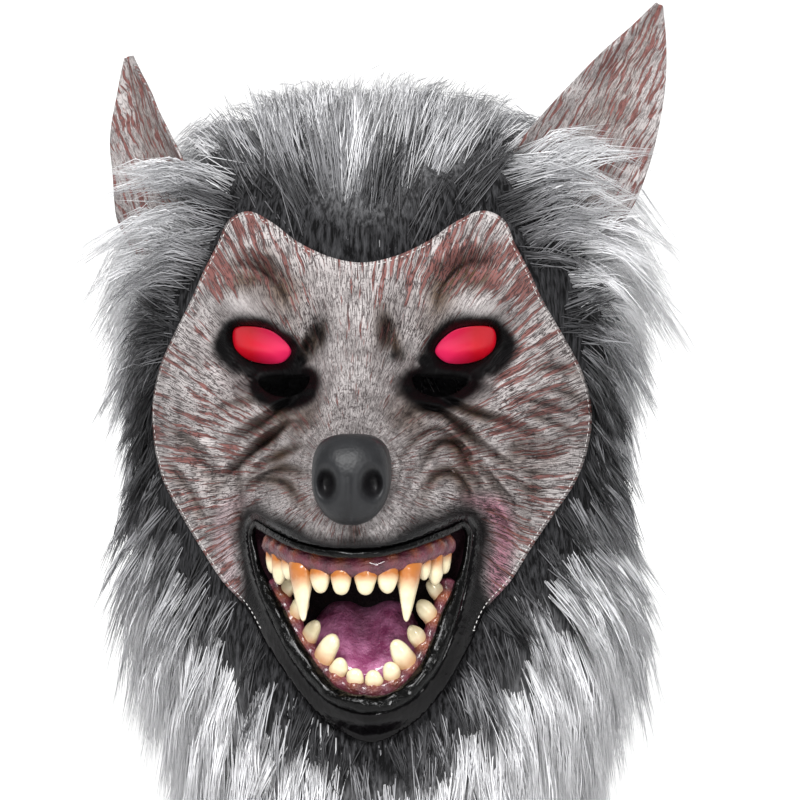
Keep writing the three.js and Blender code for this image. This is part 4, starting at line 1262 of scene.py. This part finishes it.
def pocket(lift, rows, steps):
    """Rings from behind the lips to the throat."""
    middle = throat()
    lip, out, radius = lip_line(steps)
    q = lip + out * (radius + lift)[:, None]
    rim = lip[:, 1] + radius * 1.3 + seam
    rings = []
    for t in np.linspace(0, 1, rows):
        share = 0.1 + 0.9 * max(math.cos(t * math.pi / 2), 0) ** 0.7
        y = rim + (middle[1] - rim) * math.sin(t * math.pi / 2) + lift * t
        x, z = (middle[i] + (q[:, i] - middle[i]) * share for i in (0, 2))
        rings.append(np.stack([x, y, z], 1))
    return np.stack(rings)


def make_lining():
    rows, steps = 22, 110
    outer, inner = (pocket(lift, rows, steps) for lift in (0.0, -lining_wall))
    points = [np.concatenate([r.reshape(-1, 3), r[-1].mean(0)[None]]) for r in (outer, inner)]
    last = np.arange(steps) + (rows - 1) * steps
    faces = [grid(rows, steps, closed=True), fan(last[::-1], rows * steps)]
    # Darker row by row towards the throat: painted shade deep in the mouth
    soot = np.tile(np.append(np.repeat(smooth(np.linspace(0, 1, rows) * 1.6), steps), 1), 2)
    lining = make("mouth_pocket", shell(*points, faces), throat_finish, soot=soot, stain=0 * soot)
    return fit(lining, "mouth_latex", "mouth_lining")


class Arch:
    """The line that a gum follows, set back from the lips, with its teeth's places."""

    def __init__(self, rows):
        def half(sign):
            at = placed(sign * rows["side"], rows["down"])
            y = rows["back"] * lip_bead - face_reach(*at.T)
            return np.stack([at[:, 0], y, at[:, 1]], 1)

        self.points = curve(np.concatenate([half(-1)[1:][::-1], half(1)]), 400, closed=False)

    def at(self, share):
        run = np.linspace(0, 1, len(self.points))
        return np.stack([np.interp(share, run, self.points[:, k]) for k in range(3)], -1)

    def along(self, share):
        return unit(self.at(np.clip(share + 0.004, 0, 1)) - self.at(np.clip(share - 0.004, 0, 1)))


upper_arch, lower_arch = Arch(upper_gum_rows), Arch(lower_gum_rows)


def make_gum(name, arch, teeth, toothward):
    """A bar of gum that swells round the root of each tooth."""
    share = np.linspace(0, 1, 150)
    at, along = arch.at(share), arch.along(share)
    back = unit(np.stack([-along[:, 1], along[:, 0], 0 * share], 1))
    up = unit(np.cross(along, back))
    roots = np.array([0.5 + sign * a / 2 for a in teeth["along"] for sign in (1, -1)])
    swell = bell((share[:, None] - roots) / 0.022).max(1)
    turn = turns(28)
    facing = smooth(np.cos(turn) * toothward * 0.5 + 0.5)
    lumps = 0.07 * rumple(share[:, None] * 40, turn[None] * 2, 11)
    bulge = 1 + 0.22 * (swell[:, None] - 0.5) * facing + lumps
    tip = np.minimum(1, np.minimum(share, 1 - share) / 0.02 + 0.3)[:, None]
    rings = (
        at[:, None]
        + back[:, None] * (gum_thickness / 2 * np.sin(turn) * bulge * tip)[..., None]
        + up[:, None] * (gum_height / 2 * np.cos(turn) * bulge * tip)[..., None]
    )
    stain = np.concatenate([(swell[:, None] * facing**2 * 0.8).ravel(), [0, 0]])
    gum = make(name + "_bar", loft(rings), gum_finish, soot=0 * stain, stain=stain)
    return fit(gum, "mouth_latex", name)


tooth_flat = 0.78  # a tooth's thickness as a share of its width
fang_curl, peg_curl = 0.04, 0.016  # how far the tips bend back, as shares of the length
root_hidden = 0.16  # share of an upper tooth that turns back into the gum


def make_tooth(jaw, arch, row, word, sign):
    share = 0.5 + sign * row["along"] / 2
    at, along = arch.at(share), arch.along(share)
    upper, fang = jaw == "upper", row["fang"]
    if upper:
        up = np.array([0, -0.1, -1])
    else:
        up = unit(np.array([-along[2], 0, along[0]])) * 0.7 + np.array([0, -0.3, 0.6])
    up = unit(up - along * sign * math.tan(math.radians(row["lean"])))
    side = unit(along - up * np.dot(along, up))
    back = np.cross(up, side)
    long, wide = (upper_fang if fang else upper_tooth) if upper else lower_tooth
    taper = fang_taper if upper and fang else peg_taper
    high = np.concatenate([np.linspace(taper["high"][0], 0.9, 20), np.linspace(0.92, 1.0, 8)])
    half = across(taper, "wide", high, by="high") * wide * row["wide"] / 2
    turn = turns(20)
    seed = row["along"] * 10 + sign + upper * 5
    lumpy = 1 + 0.09 * rumple(high[:, None] * 3 + seed, np.cos(turn)[None] * 2, 5)
    curled = (fang_curl if fang else peg_curl) * high**2 * long * row["long"]
    buried = 1.1 * long * np.clip(root_hidden - high, 0, 1)
    inwards = curled + buried if upper else 0 * high
    rings = (
        at
        + up * (high * long * row["long"])[:, None, None]
        + side * (half[:, None] * np.cos(turn) * lumpy)[..., None]
        + back * (half[:, None] * tooth_flat * np.sin(turn) * lumpy)[..., None]
        + np.array([0, 1, 0]) * inwards[:, None, None]
    )
    stained = 1 - smooth((high - 0.2) / (0.5 if fang else 0.62))
    root = np.concatenate([np.repeat(stained, 20), [1, 0]]) * (1.0 if upper else 0.7)
    name = f"{jaw}_{row['name']}_{word}"
    return fit(make(name + "_tooth", loft(rings), tooth_finish, root=root), "tooth", name)


def make_tongue():
    rows, columns = 70, 64
    start_at = throat()
    end_at = lower_arch.at(0.5) + np.array([0, gum_thickness, gum_height / 2])
    along = np.concatenate([np.linspace(-0.1, 0.9, rows - 20), np.linspace(0.91, 1.0, 20)])
    names = ("wide", "thick", "rise")
    wide, thick, rise = (across(tongue_sections, name, along, by="along") for name in names)
    turn = turns(columns)
    side, up = np.cos(turn), np.sin(turn)
    groove = np.where(up > 0, 1 - 0.55 * bell(side / 0.35), 1)
    lumps = 1 + 0.08 * rumple(along[:, None] * 9, side[None] * 4, 21)
    rings = (start_at + (end_at - start_at) * along[:, None])[:, None] + np.zeros((1, columns, 3))
    rings = rings + np.array([1, 0, 0]) * (side * wide[:, None] * tongue_width / 2)[..., None]
    lift = rise[:, None] * tongue_thickness + up * groove * thick[:, None] * tongue_thickness * lumps
    rings = rings + np.array([0, 0, 1]) * lift[..., None]
    # Darker towards the throat: painted shade at the back of the mouth
    soot = np.concatenate([np.repeat(1 - smooth((along + 0.05) / 0.5), columns), [1, 0]])
    made = make("tongue_lobes", loft(rings), tongue_finish, soot=soot * 0.9, stain=0 * soot)
    return fit(made, "mouth_latex", "tongue")


# The ears
def make_ear(ear):
    """A cupped latex sheet that stands on the side of the crown."""
    rows, columns = 70, 40
    sign = ear["sign"]
    angle, z = sign * math.radians(ear["angle"]), crown_top - ear["down"] * hood_drop
    root, _ = hood_point(np.array(angle), np.array(z))
    lean = math.radians(ear["outward"])
    up = np.array([sign * math.sin(lean), 0, math.cos(lean)])
    level = np.array([up[2], 0, -up[0]])
    twist = sign * math.radians(ear["twist"])
    side = level * math.cos(twist) + np.cross(up, level) * math.sin(twist)
    front = -np.cross(up, side)
    along, share = np.meshgrid(np.linspace(0.0, 1, rows), np.linspace(-1, 1, columns), indexing="ij")
    names = ("inner", "outer", "cup")
    inner, outer, cup = (across(ear_sections, name, along, by="along") for name in names)
    half = (inner + outer) / 2 * ear_width * ear["wide"]
    middle = sign * (outer - inner) / 2 * ear_width * ear["wide"]
    waves = 1.2 * rumple(along * 6 + 3, share * 2.5, 31 + sign)
    edge_roll = 2.0 * smooth((np.abs(share) - 0.75) / 0.25)

    def points(lift):
        bend = cup * ear_cup * share**2 + lift + waves - edge_roll * (1 - along)
        run = along * ear_length * ear["long"] - (1 - along) * ear_root
        flat = root + up * run[..., None] + side * (middle + share * half)[..., None]
        return (flat + front * bend[..., None]).reshape(-1, 3)

    wall = ear_wall / 2 * (1 - 0.6 * smooth((np.abs(share) - 0.8) / 0.2))
    made = shell(points(wall), points(-wall), [grid(rows, columns)])
    grain = np.stack([(share * half).ravel(), (along * ear_length).ravel(), 0 * along.ravel()], 1)
    looks = {
        "grain": grain,
        "rust": 0.3 + 0.4 * along.ravel(),
        "scratch": 0.5 + 0 * along.ravel(),
        # Brown in the middle of the cup and black at the root: painted shade
        "brown_wash_and_shade": 0.35 * smooth((0.8 - np.abs(share)) / 0.8).ravel(),
        "soot": 0.55 * smooth((0.35 - along) / 0.3).ravel(),
        "flesh": 0 * along.ravel(),
        "wet": 0 * along.ravel(),
    }
    looks = {key: np.concatenate([value, value]) for key, value in looks.items()}
    piece = make(ear["name"] + "_latex", made, latex, **looks)
    solid, faces = dome(lambda a, z: 0 * a + 0.3, columns=64, rows=40)
    last = np.arange(64) + 39 * 64
    solid = np.concatenate([solid, solid[last].mean(0)[None]])
    cut_away(piece, make("cutter", (solid, [*faces, fan(last[::-1], len(solid) - 1)]), None))
    return fit(piece, "latex", ear["name"])


# The stitches
stitch_gap = 2.6
stitch_length = 1.5
stitch_width = 0.42
stitch_inset = 1.3


def stitch_rule():
    """Nodes that lay stitches of one size along a path, each along the path's own direction."""
    tree = bpy.data.node_groups.new("stitches", "GeometryNodeTree")
    tree.interface.new_socket("Path", in_out="INPUT", socket_type="NodeSocketGeometry")
    for name in ("Gap", "Length", "Width"):
        tree.interface.new_socket(name, in_out="INPUT", socket_type="NodeSocketFloat")
    tree.interface.new_socket("Stitches", in_out="OUTPUT", socket_type="NodeSocketGeometry")
    given = tree.nodes.new("NodeGroupInput").outputs
    path = add(tree, "GeometryNodeMeshToCurve", {"Mesh": given["Path"]})
    spacing = {"Curve": path, "Length": given["Gap"]}
    places = add(tree, "GeometryNodeCurveToPoints", spacing, "Points", mode="LENGTH")
    turn = places.node.outputs["Rotation"]
    bead = add(tree, "GeometryNodeMeshUVSphere", {"Segments": 8, "Rings": 5, "Radius": 0.5}, "Mesh")
    size = add(tree, "CombineXYZ", {"X": given["Width"], "Y": given["Width"], "Z": given["Length"]})
    laid = {"Points": places, "Instance": bead, "Rotation": turn, "Scale": size}
    laid = add(tree, "GeometryNodeInstanceOnPoints", laid)
    solid = add(tree, "GeometryNodeRealizeInstances", {"Geometry": laid})
    coated = add(tree, "GeometryNodeSetMaterial", {"Geometry": solid, "Material": thread})
    tree.links.new(coated, tree.nodes.new("NodeGroupOutput").inputs["Stitches"])
    return tree


def make_stitches():
    """Thread that shows along the edge of the latex, where it is sewn to the fur."""
    line = outline(face_edge, 500, -stitch_inset)
    line = line[line[:, 1] > drop_of(0.8)]
    start = np.argmin(line[:, 1] + 1000 * (line[:, 0] < 0))
    line = np.roll(line, -start, 0)
    points = np.stack([line[:, 0], -skin_reach(*line.T) - stitch_width * 0.3, line[:, 1]], 1) * MM
    mesh = bpy.data.meshes.new("stitch_path")
    mesh.from_pydata(points.tolist(), [(i, i + 1) for i in range(len(points) - 1)], [])
    piece = new_object("edge_stitches", mesh)
    change = piece.modifiers.new("stitches", "NODES")
    change.node_group = stitch_rule()
    sizes = {"Gap": stitch_gap, "Length": stitch_length, "Width": stitch_width}
    for socket in change.node_group.interface.items_tree:
        if socket.name in sizes:
            change[socket.identifier] = sizes[socket.name] * MM
    piece.update_tag()
    settle(piece)
    return fit(piece)


# The fur
def make_pelt():
    """The dense dark underfur on the backing, thin where it meets the latex."""

    def lift(angle, z):
        at = hood_place(angle, z)
        away = np.where(np.cos(angle) > 0, -inside(face_outline, at[..., 0], z), 60)
        matted = 1 + 0.3 * rumple(angle * 14, z / 5, 41) + 0.3 * rumple(angle * 30, z / 12, 42)
        return 0.3 + fur_lift(angle, z) * 0.22 * smooth((away + 1) / 16) * matted

    outer, faces = dome(lift, columns=150, rows=90)
    inner, _ = dome(lambda a, z: 0 * a + 0.1, columns=150, rows=90)
    points = np.concatenate([outer, inner])
    away = np.where(points[:, 1] < 0, -inside(face_outline, points[:, 0], points[:, 2]), 60)
    down = (crown_top - points[:, 2]) / hood_drop
    pale = across(fur_sections, "pale", down) * smooth((away - 10) / 36)
    pelt = make("underfur", shell(outer, inner, faces), underfur, pale=pale)
    cut_away(pelt, prism(outline(face_edge, 160, -4), -240, 0))
    return fit(pelt, "faux_fur", "fur")


fur_seed = 7
clump_count = 3000
strands_a_clump = 22
strand_width = 0.66
guide_steps = 9
stations = np.array([0, 0.52, 1.0])  # where a strand's rings are, along its length
ear_lead, ear_spread = 0.3, 0.26  # the long locks before each ear's base, in radians round the hood
ear_lock_reach = (0.64, 0.5)  # shares of a lock's length that it reaches, on the left and the right
zones = ("crown", "left", "right", "back_left", "back_right", "nape", "throat")


def fur_roots(random, count):
    """Evenly scattered places on the pile: angle, height and distance from the latex."""
    found = []
    while sum(map(len, found)) < count:
        angle, t = random.uniform(0, 2 * np.pi, count * 4), random.uniform(0, 1, count * 4)
        dt = 0.004
        z, above, below = (dome_height(np.clip(t + step, 0, 1)) for step in (0, -dt, dt))
        at = hood_place(angle, z)
        aside = hood_place(angle + 0.01, z) - at
        drop = hood_place(angle, below) - hood_place(angle, above)
        area = np.linalg.norm(np.cross(aside, drop), axis=1)
        away = np.where(np.cos(angle) > 0, -inside(face_outline, at[:, 0], z), 200)
        taken = random.uniform(0, 1, len(angle)) * np.quantile(area, 0.98) < area
        found.append(np.stack([angle, z, away], 1)[taken & (away > 0.5)])
    return np.concatenate(found)[:count]


def brushed(at, normal):
    """The way the pile lies at places: out from the face, back over the crown and down everywhere
    else."""
    down = (crown_top - at[:, 2]) / hood_drop
    out_x, out_z = at[:, 0] / 90, (at[:, 2] + 140) / 110
    size = np.hypot(out_x, out_z) + 1e-6
    forward = smooth((-at[:, 1] + 55) / 90)
    hang = mix(1.5, 0.1 + 1.9 * smooth((down - 0.2) / 0.35), forward)
    back = 0.35 + 0.9 * (1 - smooth((down - 0.05) / 0.25)) - 0.35 * smooth(down / 0.6)
    flow = np.stack([out_x / size * (0.35 + 0.65 * forward), back, out_z / size * forward - hang], 1)
    return unit(flow - normal * (flow * normal).sum(1, keepdims=True))


def fur_guides(at, normal, long, root_lift, tip_lift, stray):
    """Paths that follow the hood under the pull of the brush, and rise from it towards their tips."""
    surface, faces = dome(lambda a, z: 0 * a, below=90)
    polygons = [tuple(f) for block in faces for f in block.tolist()]
    tree = BVHTree.FromPolygons([Vector(p) for p in surface.tolist()], polygons)
    ground, points, sides = at.copy(), [], []
    for step in range(guide_steps):
        share = step / (guide_steps - 1)
        flow = brushed(ground, normal)
        side = np.cross(flow, normal)
        heading = unit(flow + side * stray[:, None])
        sides.append(side)
        lift = root_lift + (tip_lift - root_lift) * share**0.85
        points.append(ground + normal * lift[:, None])
        ahead = ground + heading * (long / (guide_steps - 1))[:, None]
        low = ahead[:, 2] < crown_top - hood_drop - 85
        hits = [tree.find_nearest(Vector(p)) for p in ahead.tolist()]
        ground = np.where(low[:, None], ahead, np.array([tuple(hit[0]) for hit in hits]))
        facing = np.array([tuple(hit[1]) for hit in hits])
        facing *= np.sign((facing * normal).sum(1, keepdims=True) + 1e-9)
        normal = np.where(low[:, None], normal, facing)
    return np.stack(points, 1), np.stack(sides, 1)


def along_guides(values, of, share):
    """Values of each strand's guide at a share of its length."""
    run = np.clip(share, 0, 1) * (guide_steps - 1)
    low = np.minimum(run.astype(int), guide_steps - 2)
    return mix(values[of, low], values[of, low + 1], (run - low)[:, None])


def make_fur():
    random = np.random.default_rng(fur_seed)
    angle, z, away = fur_roots(random, clump_count).T
    down = (crown_top - z) / hood_drop
    at, normal = hood_point(angle, z)
    turn = np.arctan2(np.sin(angle), np.cos(angle))
    crown = smooth((0.36 - down) / 0.15) * smooth((np.cos(angle) + 0.2) / 0.5)
    room = mix(0.45 + 0.55 * smooth(away / 26), 1.15, crown)
    long = across(fur_sections, "long", down) * room * random.uniform(0.8, 1.25, clump_count)
    edge_thin = smooth((away + 1) / 14)
    pile = np.maximum(fur_lift(angle, z), 9)
    root_lift = 0.12 * pile * edge_thin
    tip_lift = pile * np.clip(random.normal(0.9, 0.26, clump_count), 0.3, 1.35) * mix(0.55, 1, edge_thin)
    stray = 0.15 * random.normal(size=clump_count)
    by_ear = sum(
        bell((turn - ear["sign"] * (math.radians(ear["angle"]) - ear_lead)) / ear_spread)
        * bell((down - ear["down"] - 0.01) / 0.085)
        for ear in rows_of(ears)
    )
    long = long * (1 + 0.5 * by_ear)
    tip_lift = tip_lift * mix(1.28, 1.15, crown) + 10 * by_ear
    guides, sides = fur_guides(at, normal, long, root_lift, tip_lift, stray * (1 - 0.5 * crown))
    share = np.linspace(0, 1, guide_steps)
    rising = 0.5 + random.normal(size=clump_count) * 0.3
    out = unit(np.stack([0.85 * np.sign(at[:, 0]), -0.22 + 0 * z, rising], 1))
    ahead = long * np.where(at[:, 0] > 0, *ear_lock_reach)
    over = guides[:, :1] + out[:, None] * (ahead[:, None] * share)[..., None]
    over = over - np.array([0, 0, 1]) * (0.3 * long[:, None] * share**2)[..., None]
    guides = mix(guides, over, smooth(by_ear / 0.5)[:, None, None])
    dark_band = mix(20, 40, crown * bell(turn / 0.5))
    pale = across(fur_sections, "pale", down) * mix(0.12, 1.0, smooth((away + 2) / dark_band))
    streaks = mix(0.08, 0.13, crown) * random.normal(size=clump_count)
    pale = np.maximum(pale + mix(0.09, 0.06, crown) + streaks, 0.9 * by_ear)

    # The strands of each clump, loose at the root and drawn together at the tip
    count = clump_count * strands_a_clump
    of = np.repeat(np.arange(clump_count), strands_a_clump)
    spread = random.normal(size=(count, 3)) * np.array([3.2, 6.0, 0.9])
    reach = random.uniform(0.62, 1.0, count)
    fork, wave = 0.035 * random.normal(size=count), random.uniform(0, 6.3, count)
    points = []
    for share, loose in zip(stations, (1.0, 0.6, 0.34)):
        side = along_guides(sides, of, share * reach)
        path = along_guides(guides, of, share * reach)
        aside = spread[:, 0] * loose + fork * long[of] * share + 0.9 * np.sin(wave + share * 5)
        start_on = (guides[of, 1] - guides[of, 0]) / (long[of] / (guide_steps - 1))[:, None]
        path = path + side * aside[:, None] + start_on * (spread[:, 1] * (1 - share))[:, None]
        points.append(path + normal[of] * (spread[:, 2] * (0.25 + 1.6 * share))[:, None])
    path = np.stack(points, 1)
    body = unit(path[:, -1] - path[:, 0])
    across_1 = unit(np.cross(body, normal[of]))
    across_2 = np.cross(body, across_1)
    half = strand_width / 2 * random.uniform(0.65, 1.2, count) * (1 - 0.22 * crown[of])
    tone = np.clip(pale[of] + 0.06 * random.normal(size=count), 0.02, 0.97)
    forward, behind, left = np.cos(angle) > 0.2, np.cos(angle) < -0.3, np.sin(angle) > 0
    zone = np.select(
        [(down < 0.3) & forward, (down > 0.6) & forward, behind & (down > 0.62), behind & left, behind, left],
        [zones.index(name) for name in ("crown", "throat", "nape", "back_left", "back_right", "left")],
        zones.index("right"),
    )
    spin = random.uniform(0, 2 * np.pi, count)
    strands = (path, across_1, across_2, half, spin, tone)
    for number, name in enumerate(zones):
        chosen = zone[of] == number
        make_strands("fur_" + name, *(values[chosen] for values in strands))


def make_strands(name, path, side, up, half, spin, tone):
    """Tapered three-sided strands as one mesh, closed at root and tip."""
    rings = []
    for k, width in enumerate((1.0, 0.85)):
        spins = spin[:, None] + np.arange(3) * 2 * np.pi / 3
        off = side[:, None] * np.cos(spins)[..., None] + up[:, None] * np.sin(spins)[..., None]
        rings.append(path[:, k, None] + off * (half * width)[:, None, None])
    points = np.concatenate([*rings, path[:, 2:]], 1)
    base = (np.arange(len(path)) * 7)[:, None, None]
    sides = [[c, (c + 1) % 3, 3 + (c + 1) % 3, 3 + c] for c in range(3)]
    ends = [[3, 4, 6], [4, 5, 6], [5, 3, 6], [2, 1, 0]]
    faces = [(base + np.array(block)).reshape(-1, len(block[0])) for block in (sides, ends)]
    piece = make(name, (points.reshape(-1, 3), faces), fibre, outwards=False)
    nudge = np.array([-1, 0, 1, -1, 0, 1, 0]) * 0.004
    u = np.clip(tone[:, None] + nudge, 0.001, 0.999)
    v = np.append(np.repeat(stations[:2], 3), 1.0).clip(0.01, 0.99) + 0 * u
    corners = np.zeros(len(piece.data.loops), np.int32)
    piece.data.loops.foreach_get("vertex_index", corners)
    wrapped = np.stack([u.ravel()[corners], v.ravel()[corners]], 1)
    piece.data.uv_layers.new(name="OFBake").data.foreach_set("uv", wrapped.astype(np.float32).ravel())
    return fit(piece, "faux_fur")


# Stage
def make_stage():
    """A wide pale floor, soft light from above and in front, and the camera."""
    drop, near, far, high = -0.42, -4.0, 3.2, 4.0
    bend = [(math.sin(a), 1 - math.cos(a)) for a in np.linspace(0, math.pi / 2, 13).tolist()]
    side_on = [(near, drop), *((far - 1 + y, drop + z) for y, z in bend), (far, high)]
    points = [(x, y, z) for y, z in side_on for x in (-6, 6)]
    mesh = bpy.data.meshes.new("floor")
    strips = [(i, i + 1, i + 3, i + 2) for i in range(0, len(points) - 2, 2)]
    mesh.from_pydata(points, [], strips)
    mesh.polygons.foreach_set("use_smooth", [True] * len(mesh.polygons))
    paper = {"Base Color": paint("#fafafa"), "Roughness": 1.0}
    mesh.materials.append(material("pale_paper", lambda tree: paper))
    new_object("floor", mesh)

    world = bpy.data.worlds.new("studio")
    bpy.context.scene.world = world
    world.use_nodes = True
    sky = world.node_tree.nodes["Background"].inputs
    sky["Color"].default_value = paint("#ffffff")
    sky["Strength"].default_value = 0.33
    bpy.context.scene.view_settings.view_transform = "Standard"

    aim = Vector((0.011, 0, -0.12))
    for name, spot, size, power in (
        ("key", (-0.3, -1.5, 0.8), 0.5, 20.0),
        ("fill", (0.9, -1.5, 0.3), 0.25, 9.0),
    ):
        light = bpy.data.lights.new(name, "AREA")
        light.size, light.energy = size, power
        lamp = new_object(name, light)
        lamp.location = spot
        lamp.rotation_euler = (aim - Vector(spot)).to_track_quat("-Z", "Y").to_euler()
    sun = bpy.data.lights.new("ceiling", "SUN")
    sun.energy, sun.angle = 2.1, math.radians(20)
    new_object("ceiling", sun).rotation_euler = (math.radians(44), 0, math.radians(-6))

    camera = new_object("camera", bpy.data.cameras.new("camera"))
    camera.data.lens = 141.4
    camera.data.clip_end = 60
    turn, distance = math.radians(3), 1.4
    camera.location = aim + Vector((math.sin(turn), -math.cos(turn), 0)) * distance
    camera.rotation_euler = (aim - camera.location).to_track_quat("-Z", "Y").to_euler()
    bpy.context.scene.camera = camera


make_stage()
make_hood()
make_face()
make_nose()
make_lens("lens_left", 1)
make_lens("lens_right", -1)
make_lips()
make_lining()
make_gum("upper_gum", upper_arch, upper_teeth, 1)
make_gum("lower_gum", lower_arch, lower_teeth, 1)
for jaw, arch, teeth in (("upper", upper_arch, upper_teeth), ("lower", lower_arch, lower_teeth)):
    for row in rows_of(teeth):
        for word, sign in (("left", 1), ("right", -1)):
            make_tooth(jaw, arch, row, word, sign)
make_tongue()
for ear in rows_of(ears):
    make_ear(ear)
make_stitches()
make_pelt()
make_fur()
